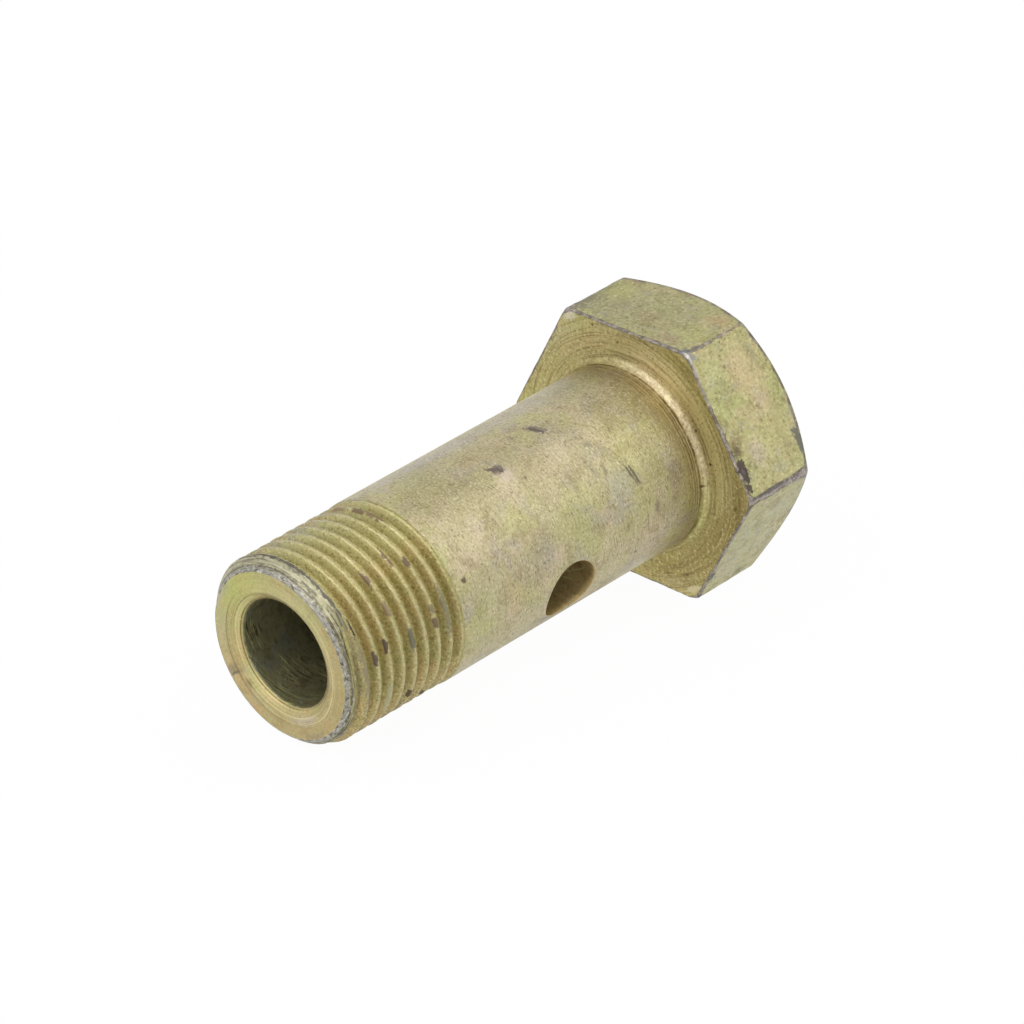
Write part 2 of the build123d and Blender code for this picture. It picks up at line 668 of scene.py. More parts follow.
boreRings = [addRing(x, radius, boreTurns) for x, radius, _ in mouthProfile]
joinToHalf(tipRings[-1], boreRings[0], "tip")
mouthStations = 11  # the first stations lie on the end face and in the countersunk mouth
joinAll(boreRings[:mouthStations], "tip")

borePatchStart = holePlace + holeSettings["borePatchHalfLength"]
borePatchEnd = holePlace - holeSettings["borePatchHalfLength"]
boreColumns = [withinTurn(boreTurns, turn, holeSettings["borePatchHalfTurn"]) for turn in holeTurns]
boreSteps = holeSettings["loopSteps"] // 2 - (len(boreColumns[0]) - 1)
boreXs = evenly(mouthStart - tipSettings["boreStart"], borePatchStart, tipSettings["stepsToHole"])
firstBoreRing = len(boreRings) + len(boreXs)
boreXs += evenly(borePatchStart, borePatchEnd, boreSteps)
lastBoreRing = len(boreRings) + len(boreXs)
boreXs += [borePatchEnd, boreEnd + tipSettings["beforeDrillPoint"], boreEnd]
boreRings += [addRing(x, boreRadius, boreTurns) for x in boreXs]
drillDepth = boreRadius / tan(radians(tipSettings["drillAngle"] / 2))
for share in tipSettings["drillShares"]:
    boreRings.append(addRing(boreEnd - drillDepth * share, boreRadius * (1 - share), boreTurns))
for n in range(mouthStations - 1, len(boreRings) - 1):
    inPatch = firstBoreRing <= n < lastBoreRing
    joinRings(boreRings[n], boreRings[n + 1], "bore", openColumns(boreColumns) if inPatch else ())
drillPoint = addPoint(boreEnd - drillDepth, 0, 0)
for n in range(len(boreTurns)):
    addFace([boreRings[-1][n], boreRings[-1][(n + 1) % len(boreTurns)], drillPoint], "bore")

for turn, columns, (feet, footAngles) in zip(holeTurns, boreColumns, wallFeet):
    outer = patchLoop(boreRings[firstBoreRing : lastBoreRing + 1], columns)
    angles = loopAngles(outer, turn)
    count = len(feet)

    def mismatch(shift):
        return sum(1 - cos(angles[n] - footAngles[(shift - n) % count]) for n in range(count))

    shift = min(range(count), key=mismatch)
    feet = [feet[(shift - n) % count] for n in range(count)]
    targets = [holeView(foot, turn)[:2] for foot in feet]
    loops = surfaceLoops(outer, targets, holeSettings["boreShares"], boreRadius, turn)
    joinAll(loops + [feet], "bore")

# points that no face uses are left out
used = sorted({corner for face in faces for corner in face})
place = {point: n for n, point in enumerate(used)}
faces = [[place[corner] for corner in face] for face in faces]
points = [points[n] for n in used]
marks = {"edgeGap": edgeGaps, "crest": crestMarks, "flankMark": flankMarks}

mesh = bpy.data.meshes.new("banjoBolt")
mesh.from_pydata(points, [], faces)
mesh.polygons.foreach_set("material_index", faceFinishes)
mesh.polygons.foreach_set("use_smooth", [True] * len(faces))
for name, values in marks.items():
    attribute = mesh.attributes.new(name, "FLOAT", "POINT")
    attribute.data.foreach_set("value", [values[n] for n in used])
mesh.update()
bolt = bpy.data.objects.new("banjoBolt", mesh)
bpy.context.scene.collection.objects.link(bolt)
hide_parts("banjo_bolt")
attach(bolt, "root")
triangles = sum(len(face) - 2 for face in faces)
print("bolt mesh:", len(points), "points,", triangles, "triangles")

# The finishes. What several of them share is a node group. Tones are red, green and blue from 0 to
# 255, as a screen shows them. A cloud is its scale, detail and roughness; patches are a cloud and the
# ramp that cuts it: start, end, low and high; a tint is such a ramp and the tone it lays on
print("finishes")


def tone(shade):
    # for a shader's socket; another node's colour passes through
    if isinstance(shade, bpy.types.NodeSocket):
        return shade
    values = [value / 255 for value in shade]
    return [v / 12.92 if v <= 0.04045 else ((v + 0.055) / 1.055) ** 2.4 for v in values] + [1.0]


def setSockets(tree, node, sockets):
    # a socket gets a value, or a link from another node's output
    for name, value in sockets.items():
        if isinstance(value, bpy.types.NodeSocket):
            tree.links.new(value, node.inputs[name])
        else:
            node.inputs[name].default_value = value


def addNode(tree, kind, sockets, **settings):
    node = tree.nodes.new(kind)
    for name, value in settings.items():
        setattr(node, name, value)
    setSockets(tree, node, sockets)
    return node


def addGroup(tree, group, sockets):
    return addNode(tree, "ShaderNodeGroup", sockets, node_tree=group).outputs


def calc(tree, operation, *values):
    return addNode(tree, "ShaderNodeMath", dict(enumerate(values)), operation=operation).outputs[0]


def times(tree, product, *factors):
    for factor in factors:
        product = calc(tree, "MULTIPLY", product, factor)
    return product


def gapFrom(tree, level, middle):
    return calc(tree, "ABSOLUTE", calc(tree, "SUBTRACT", level, middle))


def vectorCalc(tree, operation, *values):
    return addNode(tree, "ShaderNodeVectorMath", dict(enumerate(values)), operation=operation).outputs


def combine(tree, *values):
    return addNode(tree, "ShaderNodeCombineXYZ", dict(enumerate(values))).outputs[0]


def separate(tree, vector):
    return addNode(tree, "ShaderNodeSeparateXYZ", {0: vector}).outputs


def cloud(tree, vector, scale, detail, roughness, distortion=0.0):
    sockets = {"Vector": vector, "Scale": scale, "Detail": detail, "Roughness": roughness}
    sockets["Distortion"] = distortion
    return addNode(tree, "ShaderNodeTexNoise", sockets).outputs[0]


def unevenness(tree, vector, look):
    # a cloud about 0
    return calc(tree, "SUBTRACT", cloud(tree, vector, *look), 0.5)


def ramp(tree, value, start, end, low=0.0, high=1.0):
    sockets = {"Value": value, "From Min": start, "From Max": end, "To Min": low, "To Max": high}
    node = addNode(tree, "ShaderNodeMapRange", sockets, interpolation_type="SMOOTHSTEP")
    return node.outputs[0]


def patches(tree, vector, look):
    scale, detail, roughness, *ends = look
    return ramp(tree, cloud(tree, vector, scale, detail, roughness), *ends)


def paint(tree, colour, factor, shade):
    sockets = {0: factor, 6: tone(colour), 7: tone(shade)}
    return addNode(tree, "ShaderNodeMix", sockets, data_type="RGBA").outputs[2]


def tint(tree, colour, value, look):
    *ends, shade = look
    return paint(tree, colour, ramp(tree, value, *ends), shade)


def newGroup(name, inputs, outputs):
    # inputs and outputs are {name: kind}
    tree = bpy.data.node_groups.new(name, "ShaderNodeTree")
    for way, sockets in (("INPUT", inputs), ("OUTPUT", outputs)):
        for socketName, kind in sockets.items():
            tree.interface.new_socket(socketName, in_out=way, socket_type="NodeSocket" + kind)
    return tree, tree.nodes.new("NodeGroupInput").outputs, tree.nodes.new("NodeGroupOutput")


def floats(*names):
    return dict.fromkeys(names, "Float")


def readMark(tree, name):
    return addNode(tree, "ShaderNodeAttribute", {}, attribute_name=name).outputs["Fac"]


# Where a point is on the bolt, in millimetres and degrees
placeOutputs = {"Position": "Vector", **floats("Along", "Radius", "Turn")}
boltPlace, _, placeOut = newGroup("boltPlace", {}, placeOutputs)
coordinates = boltPlace.nodes.new("ShaderNodeTexCoord").outputs["Object"]
sockets = {0: coordinates, "Scale": 1 / mm}
position = addNode(boltPlace, "ShaderNodeVectorMath", sockets, operation="SCALE").outputs[0]
x, y, z = separate(boltPlace, position)
radius = calc(boltPlace, "SQRT", calc(boltPlace, "ADD", times(boltPlace, y, y), times(boltPlace, z, z)))
turn = calc(boltPlace, "DEGREES", calc(boltPlace, "ARCTAN2", z, y))
setSockets(boltPlace, placeOut, {"Position": position, "Along": x, "Radius": radius, "Turn": turn})


def addPlace(tree):
    return addGroup(tree, boltPlace, {})


def levelAt(tree, place, byRadius):
    # along the axis, or out from it
    return addNode(tree, "ShaderNodeMix", {0: byRadius, 2: place["Along"], 3: place["Radius"]}).outputs[0]


def drawnOut(tree, level, place, along, around):
    # noise coordinates with their own scales along the axis and round it
    _, y, z = separate(tree, place["Position"])
    return combine(tree, times(tree, level, along), times(tree, y, around), times(tree, z, around))


# Fine lines that run round the axis, as a lathe tool or an emery strip leaves
lineRoughness = 0.6
lineInputs = floats("By Radius", "Per Millimetre", "Round", "Detail")
turnedLines, lineIn, lineOut = newGroup("turnedLines", lineInputs, floats("Lines"))
place = addPlace(turnedLines)
level = levelAt(turnedLines, place, lineIn["By Radius"])
vector = drawnOut(turnedLines, level, place, lineIn["Per Millimetre"], lineIn["Round"])
setSockets(turnedLines, lineOut, {"Lines": cloud(turnedLines, vector, 1, lineIn["Detail"], lineRoughness)})

# The coating's own grain: dark and light specks, drawn out round the axis where Round is the smaller
grainSettings = {"cloud": (1, 3, 0.7), "dark": (0.47, 0.3), "light": (0.53, 0.7)}
grainInputs = floats("Along", "Round", "Seed")
grain, grainIn, grainOut = newGroup("grain", grainInputs, floats("Dark", "Light", "Height"))
stretch = combine(grain, grainIn["Along"], grainIn["Round"], grainIn["Round"])
vector = vectorCalc(grain, "MULTIPLY_ADD", addPlace(grain)["Position"], stretch, grainIn["Seed"])[0]
height = cloud(grain, vector, *grainSettings["cloud"])
dark, light = (ramp(grain, height, *grainSettings[name]) for name in ("dark", "light"))
setSockets(grain, grainOut, {"Dark": dark, "Light": light, "Height": height})

# Yellow passivated zinc: its colour wanders between olive green, pink, grey and brown. Each of those
# has its scale against the patch size, its shift, where it starts and where it is full
passivateSettings = {
    "cloud": (3, 0.52, 0.35),
    "patches": {
        "green": (1, (0, 0, 0), 0.44, 0.58),
        "pink": (1.4, (31, 7, 19), 0.5, 0.62),
        "grey": (1.9, (13, 29, 41), 0.52, 0.66),
        "brown": (2.6, (3, 47, 5), 0.5, 0.68),
    },
}
passivateInputs = {**floats("patch", "seed"), "base": "Color"}
for name in passivateSettings["patches"]:
    passivateInputs.update({name: "Color", name + "Share": "Float"})
passivateOutputs = {"Color": "Color", "Patches": "Float"}
passivate, filmIn, filmOut = newGroup("passivate", passivateInputs, passivateOutputs)
position = vectorCalc(passivate, "ADD", addPlace(passivate)["Position"], filmIn["seed"])[0]
colour = filmIn["base"]
for name, (scale, shift, start, full) in passivateSettings["patches"].items():
    moved = vectorCalc(passivate, "ADD", position, shift)[0]
    patchScale = times(passivate, filmIn["patch"], scale)
    mottle = cloud(passivate, moved, patchScale, *passivateSettings["cloud"])
    factor = times(passivate, ramp(passivate, mottle, start, full), filmIn[name + "Share"])
    colour = paint(passivate, colour, factor, filmIn[name])
setSockets(passivate, filmOut, {"Color": colour, "Patches": mottle})

# Coating knocked off along edges: grey steel with light and dark streaks, and a dark ragged border
wearSettings = {
    "raggedCloud": (2.8, 4, 0.65),
    "ragged": 0.4,
    "varyCloud": (0.5, 2, 0.5),
    "vary": 0.45,
    "bare": (0.025, -0.025),
    "outside": (0.15, 0.06),
    "inside": (-0.15, -0.01),
    "borderPatches": (1.4, 2, 0.5, 0.4, 0.6, 0.25, 0.85),
    "border": (104, 95, 86),
    "steel": (162, 154, 146),
    "darkPatches": (1.9, 4, 0.6, 0.5, 0.62, 0, 0.75),
    "darkSteel": (116, 107, 102),
    "lightPatches": (3.4, 3, 0.7, 0.54, 0.66, 0, 0.7),
    "lightSteel": (208, 200, 184),
}
wearOutputs = {**floats("Bare", "Border"), "Steel": "Color"}
edgeWear, _, wearOut = newGroup("edgeWear", {}, wearOutputs)
position = addPlace(edgeWear)["Position"]
reach = readMark(edgeWear, "edgeGap")
for name in ("ragged", "vary"):
    offset = unevenness(edgeWear, position, wearSettings[name + "Cloud"])
    reach = calc(edgeWear, "MULTIPLY_ADD", offset, wearSettings[name], reach)
bare = ramp(edgeWear, reach, *wearSettings["bare"])
outside, inside = (ramp(edgeWear, reach, *wearSettings[name]) for name in ("outside", "inside"))
border = times(edgeWear, outside, inside, patches(edgeWear, position, wearSettings["borderPatches"]))
steel = wearSettings["steel"]
for name in ("dark", "light"):
    factor = patches(edgeWear, position, wearSettings[name + "Patches"])
    steel = paint(edgeWear, steel, factor, wearSettings[name + "Steel"])
setSockets(edgeWear, wearOut, {"Bare": bare, "Border": border, "Steel": steel})

# Short strokes round the axis more than along it: marks left by handling, and in the bore painted glints
strokeSettings = {"cloud": (1, 2, 0.5), "fade": 0.08, "inPlaces": (0.3, 2, 0.5, 0.42, 0.58)}
strokes, strokeIn, strokeOut = newGroup(
    "strokes", floats("Along", "Round", "Lean", "Amount"), floats("Mask")
)
place = addPlace(strokes)
x, y, z = separate(strokes, place["Position"])
leaning = calc(strokes, "MULTIPLY_ADD", calc(strokes, "SUBTRACT", y, z), strokeIn["Lean"], x)
vector = drawnOut(strokes, leaning, place, strokeIn["Along"], strokeIn["Round"])
fullAt = calc(strokes, "SUBTRACT", strokeIn["Amount"], strokeSettings["fade"])
thin = ramp(strokes, cloud(strokes, vector, *strokeSettings["cloud"]), strokeIn["Amount"], fullAt)
inPlaces = patches(strokes, place["Position"], strokeSettings["inPlaces"])
setSockets(strokes, strokeOut, {"Mask": times(strokes, thin, inPlaces)})

# Brown tool lines at the root of the shank: place, half width and strength of each
rootLineSettings = {
    "lines": [
        (0.62, 0.1, 0.85),
        (0.88, 0.04, 0.45),
        (1.12, 0.06, 0.7),
        (1.45, 0.035, 0.35),
        (1.74, 0.05, 0.4),
        (2.25, 0.04, 0.25),
    ],
    "outerShare": 1.3,
    "innerShare": 0.5,
    "wobbleCloud": (0.55, 3, 0.6),
    "wobble": 0.22,
    "broken": (0.8, 4, 0.7, 0.36, 0.56, 0.1, 1),
    "upperTurns": (-20, 22, 0.1, 1),
    "warmReach": (2.9, 0.8),
    "tone": (104, 84, 50),
}
rootLines, _, rootLineOut = newGroup("rootLines", {}, floats("Mask", "Warm"))
place = addPlace(rootLines)
wobble = unevenness(rootLines, place["Position"], rootLineSettings["wobbleCloud"])
level = calc(rootLines, "MULTIPLY_ADD", wobble, rootLineSettings["wobble"], place["Along"])
mask = 0.0
for linePlace, halfWidth, strength in rootLineSettings["lines"]:
    outer, inner = (halfWidth * rootLineSettings[name] for name in ("outerShare", "innerShare"))
    line = ramp(rootLines, gapFrom(rootLines, level, linePlace), outer, inner, 0, strength)
    mask = calc(rootLines, "MAXIMUM", mask, line)
broken = patches(rootLines, place["Position"], rootLineSettings["broken"])
upper = ramp(rootLines, place["Turn"], *rootLineSettings["upperTurns"])
warm = times(rootLines, ramp(rootLines, level, *rootLineSettings["warmReach"]), upper)
setSockets(rootLines, rootLineOut, {"Mask": times(rootLines, mask, broken, upper), "Warm": warm})

# Tiny dark pits in the coating
pitCoreShare = 0.4
pits, pitIn, pitOut = newGroup("pits", floats("Per Millimetre", "Size", "Share"), floats("Mask"))
sockets = {"Vector": addPlace(pits)["Position"], "Scale": pitIn["Per Millimetre"]}
cells = addNode(pits, "ShaderNodeTexVoronoi", sockets).outputs
chosen = calc(pits, "LESS_THAN", separate(pits, cells["Color"])[0], pitIn["Share"])
size = times(pits, pitIn["Size"], pitIn["Per Millimetre"])
near = ramp(pits, cells["Distance"], size, times(pits, size, pitCoreShare))
setSockets(pits, pitOut, {"Mask": times(pits, near, chosen)})

# One spot, a chip, stain or patch, or a painted shade or highlight: an oval on the surface with a ragged
# edge
spotSettings = {"raggedCloud": (2.7, 4, 0.68), "ragged": 1.4}
spotInputs = floats("Place", "Turn", "By Radius", "Length", "Width", "Lean", "Soft")
spot, spotIn, spotOut = newGroup("spot", spotInputs, floats("Mask"))
place = addPlace(spot)
away = calc(spot, "WRAP", calc(spot, "SUBTRACT", place["Turn"], spotIn["Turn"]), 180, -180)
across = times(spot, calc(spot, "RADIANS", away), place["Radius"])
along = calc(spot, "SUBTRACT", levelAt(spot, place, spotIn["By Radius"]), spotIn["Place"])
sockets = {
    "Vector": combine(spot, along, across),
    "Angle": times(spot, calc(spot, "RADIANS", spotIn["Lean"]), -1),
}
leaning = addNode(spot, "ShaderNodeVectorRotate", sockets, rotation_type="Z_AXIS").outputs[0]
fullSize = combine(spot, spotIn["Length"], spotIn["Width"], 1)
oval = vectorCalc(spot, "LENGTH", vectorCalc(spot, "DIVIDE", leaning, fullSize)[0])["Value"]
raggedness = unevenness(spot, place["Position"], spotSettings["raggedCloud"])
oval = calc(spot, "MULTIPLY_ADD", raggedness, spotSettings["ragged"], oval)
halfSoft = times(spot, spotIn["Soft"], 0.5)
outer, inner = calc(spot, "ADD", 0.5, halfSoft), calc(spot, "SUBTRACT", 0.5, halfSoft)
setSockets(spot, spotOut, {"Mask": ramp(spot, oval, outer, inner)})


def addSpots(tree, colour, spots, byRadius=0.0, within=None):
    # each spot: place, turn, length, width, lean, softness, strength and tone
    names = ("Place", "Turn", "Length", "Width", "Lean", "Soft")
    for *shape, strength, shade in spots:
        sockets = {"By Radius": byRadius, **dict(zip(names, shape))}
        mask = times(tree, addGroup(tree, spot, sockets)["Mask"], strength)
        if within:
            mask = times(tree, mask, within)
        colour = paint(tree, colour, mask, shade)
    return colour


def addStrokes(tree, colour, finish):
    # each kind: its share and tone, its scales along and round the axis, its lean and its amount
    for share, shade, *shape in finish["strokes"]:
        sockets = dict(zip(("Along", "Round", "Lean", "Amount"), shape))
        mask = addGroup(tree, strokes, sockets)["Mask"]
        colour = paint(tree, colour, times(tree, mask, share), shade)
    return colour


def addPits(tree, colour, finish):
    # each kind: its strength and tone, how many to a millimetre, their size and the share kept
    for share, shade, *shape in finish["pits"]:
        sockets = dict(zip(("Per Millimetre", "Size", "Share"), shape))
        mask = addGroup(tree, pits, sockets)["Mask"]
        colour = paint(tree, colour, times(tree, mask, share), shade)
    return colour


def addLines(tree, look):
    sockets = dict(zip(("By Radius", "Per Millimetre", "Round", "Detail"), look))
    return addGroup(tree, turnedLines, sockets)["Lines"]


def addGrain(tree, colour, finish):
    # its scales along and round the axis, and how much it darkens and lightens the colour
    along, around, darkShare, lightShare = finish["grain"]
    specks = addGroup(tree, grain, {"Along": along, "Round": around, "Seed": finish["seed"]})
    colour = paint(tree, colour, times(tree, specks["Dark"], darkShare), finish["darkGrain"])
    colour = paint(tree, colour, times(tree, specks["Light"], lightShare), finish["lightGrain"])
    return colour, specks["Height"]


def addWear(tree, colour, wear):
    colour = paint(tree, colour, wear["Bare"], wear["Steel"])
    return paint(tree, colour, wear["Border"], wearSettings["border"])


def newFinish(name, finish):
    # a new material on the bolt, and the coating's colour from the finish's own tones and shares
    material = bpy.data.materials.new(name)
    material.use_nodes = True
    tree = material.node_tree
    shader = next(node for node in tree.nodes if node.type == "BSDF_PRINCIPLED")
    bolt.data.materials.append(material)
    sockets = {"patch": finish["patch"], "seed": finish["seed"], "base": tone(finish["base"])}
    for hue, (shade, share) in finish["film"].items():
        sockets.update({hue: tone(shade), hue + "Share": share})
    return tree, shader, addGroup(tree, passivate, sockets)


sheenEnds = (0.3, 0.7)


def endFinish(tree, shader, finish, colour, sheen, height):
    # sheen runs between the finish's two roughnesses; its relief is a strength and a depth
    strength, depth = finish["relief"]
    sockets = {"Height": height, "Strength": strength, "Distance": depth * mm}
    normal = addNode(tree, "ShaderNodeBump", sockets).outputs[0]
    sockets = {"Base Color": colour, "Metallic": finish["metallic"], "Normal": normal}
    sockets["Roughness"] = ramp(tree, sheen, *sheenEnds, *finish["roughness"])
    setSockets(tree, shader, sockets)


# The flats and the top of the head. Each patch, mark, chip, stain, painted shade and painted highlight has
# its place along the axis or out from it, its turn, length, width, lean, softness, strength and tone
flatsFinish = {
    "base": (176, 170, 122),
    "film": {
        "green": ((172, 174, 120), 0.7),
        "pink": ((190, 174, 136), 0.6),
        "brown": ((150, 140, 98), 0.65),
        "grey": ((162, 158, 138), 0.65),
    },
    "patch": 0.36,
    "seed": 0,
    "grain": (3.6, 3.6, 0.75, 0.65),
    "darkGrain": (122, 116, 76),
    "lightGrain": (214, 208, 162),
    "strokes": [
        (0.6, (124, 118, 84), 9, 1.4, 0.25, 0.36),
    ],
    "pits": [
        (0.5, (124, 116, 72), 0.9, 0.24, 0.4),
        (0.75, (106, 98, 66), 1.5, 0.12, 0.45),
    ],
    "marks": [
        # painted shade over the whole top flat
        (-4.5, 90, 9, 13, 0, 0.9, 0.5, (160, 154, 118)),
        (-3, 108, 5, 4, 0, 0.9, 0.45, (146, 146, 118)),
        (-4.8, 47, 2.6, 4.2, 10, 0.6, 0.6, (200, 178, 142)),
        (-5.7, 33, 2, 4, 0, 0.6, 0.5, (198, 178, 142)),
        (-2.9, 14.3, 1.9, 2, 0, 0.4, 0.75, (184, 172, 154)),
        (-2.3, 45.8, 0.7, 1, 30, 0.9, 0.7, (118, 112, 76)),
        (-1.9, 46.8, 0.3, 0.4, 30, 0.5, 0.7, (110, 104, 68)),
        (-2.6, 44.8, 0.3, 0.4, 30, 0.5, 0.7, (110, 104, 68)),
        (-1.1, 40.5, 0.4, 0.5, 0, 0.5, 0.6, (110, 104, 70)),
        (-4.9, 30.2, 0.35, 0.6, 0, 0.5, 0.5, (124, 112, 74)),
        (-0.8, 18.6, 0.9, 1, 40, 0.8, 0.8, (96, 84, 66)),
        (-1.1, 23, 1.2, 1.6, 20, 0.9, 0.5, (120, 108, 78)),
        (-6.8, 28, 1.6, 2.4, 20, 0.9, 0.45, (132, 130, 84)),
        (-5.6, 14, 1.6, 2, 30, 0.9, 0.5, (138, 136, 88)),
        (-7.3, 56.3, 0.4, 1.4, 0, 0.4, 0.85, (138, 134, 128)),
        (-6.5, 50, 0.7, 2, -20, 0.8, 0.5, (142, 136, 110)),
        (-2.6, 118.2, 3.2, 1.6, 0, 0.9, 0.75, (122, 120, 98)),
        (-4.9, 118.6, 2.4, 1.2, 0, 0.9, 0.6, (126, 124, 96)),
        (-0.8, 118.6, 1.4, 1.5, 0, 0.6, 0.8, (138, 134, 122)),
        (-2.7, 90.1, 1.6, 3, 20, 0.9, 0.5, (150, 134, 100)),
        (-2.1, 49, 2, 2.6, 0, 0.9, 0.55, (194, 194, 144)),
        (-4.2, 13.5, 2.4, 2.4, 0, 0.9, 0.5, (196, 188, 138)),
        (-6.3, 19, 2.2, 3.4, 0, 0.9, 0.45, (192, 184, 136)),
        (-2, -43, 2.4, 2.6, 0, 0.9, 0.5, (180, 176, 156)),
        (-1.2, 72.5, 1.6, 2.4, 0, 0.8, 0.6, (166, 144, 118)),
        (-6.1, 67, 1.6, 2.2, 0, 0.8, 0.6, (190, 164, 122)),
        (-8.2, 92, 0.6, 2, 0, 0.5, 0.5, (160, 132, 96)),
        (-7.2, 113.5, 1, 1.6, 0, 0.6, 0.5, (156, 132, 98)),
        (-4.9, 113.4, 2.6, 2.6, 0, 0.9, 0.5, (184, 182, 116)),
        (-3.2, 66.4, 2.2, 2.4, 0, 0.9, 0.5, (186, 182, 118)),
        (-4.8, -56, 1.1, 0.8, 0, 0.6, 0.7, (104, 108, 90)),
        (-5.6, -15.9, 2, 2, 0, 0.9, 0.5, (176, 172, 156)),
        # painted reflection of the pale floor over the whole lower flat, paler and greyer
        (-4.4, -30, 9, 13, 0, 0.9, 0.35, (182, 178, 148)),
    ],
    "chips": [
        (-0.62, 12.6, 1, 1.5, 0, 0.25, 0.95, (84, 74, 68)),
        (-0.62, 9.4, 0.85, 1.5, 0, 0.25, 0.95, (80, 71, 66)),
        (-0.55, 10.9, 0.35, 0.5, 0, 0.8, 0.6, (118, 110, 104)),
        (-0.4, 4.9, 0.6, 0.8, 0, 0.25, 0.95, (88, 78, 71)),
        (-7.55, 11.2, 0.9, 2.1, 0, 0.2, 0.95, (112, 111, 102)),
        (-0.42, 61.8, 0.9, 0.7, 0, 0.4, 0.9, (122, 124, 124)),
        (-1.2, 60.6, 1.2, 0.4, 0, 0.5, 0.8, (112, 108, 104)),
        (-0.5, 58.2, 0.8, 0.7, 0, 0.4, 0.85, (146, 146, 144)),
        (-0.2, 58.9, 0.16, 1.1, 0, 0.6, 0.7, (208, 204, 192)),
        (-0.26, 54.5, 0.2, 2, 0, 0.6, 0.6, (196, 188, 174)),
        (-2.6, 0.9, 4.6, 0.34, 0, 0.5, 0.8, (104, 98, 96)),
        (-0.4, -47.4, 0.7, 1.1, 0, 0.4, 0.9, (84, 84, 78)),
        (-0.3, -58.3, 0.5, 0.5, 0, 0.4, 0.9, (70, 68, 60)),
    ],
    "bareDepth": 1.5,
    "relief": (0.5, 0.02),
    "roughness": (0.42, 0.54),
    "metallic": 1,
}
tree, shader, film = newFinish("headFlats", flatsFinish)
colour = addSpots(tree, film["Color"], flatsFinish["marks"])
colour, height = addGrain(tree, colour, flatsFinish)
colour = addStrokes(tree, colour, flatsFinish)
colour = addPits(tree, colour, flatsFinish)
wear = addGroup(tree, edgeWear, {})
colour = addWear(tree, colour, wear)
colour = addSpots(tree, colour, flatsFinish["chips"])
height = calc(tree, "SUBTRACT", height, times(tree, wear["Bare"], flatsFinish["bareDepth"]))
endFinish(tree, shader, flatsFinish, colour, film["Patches"], height)

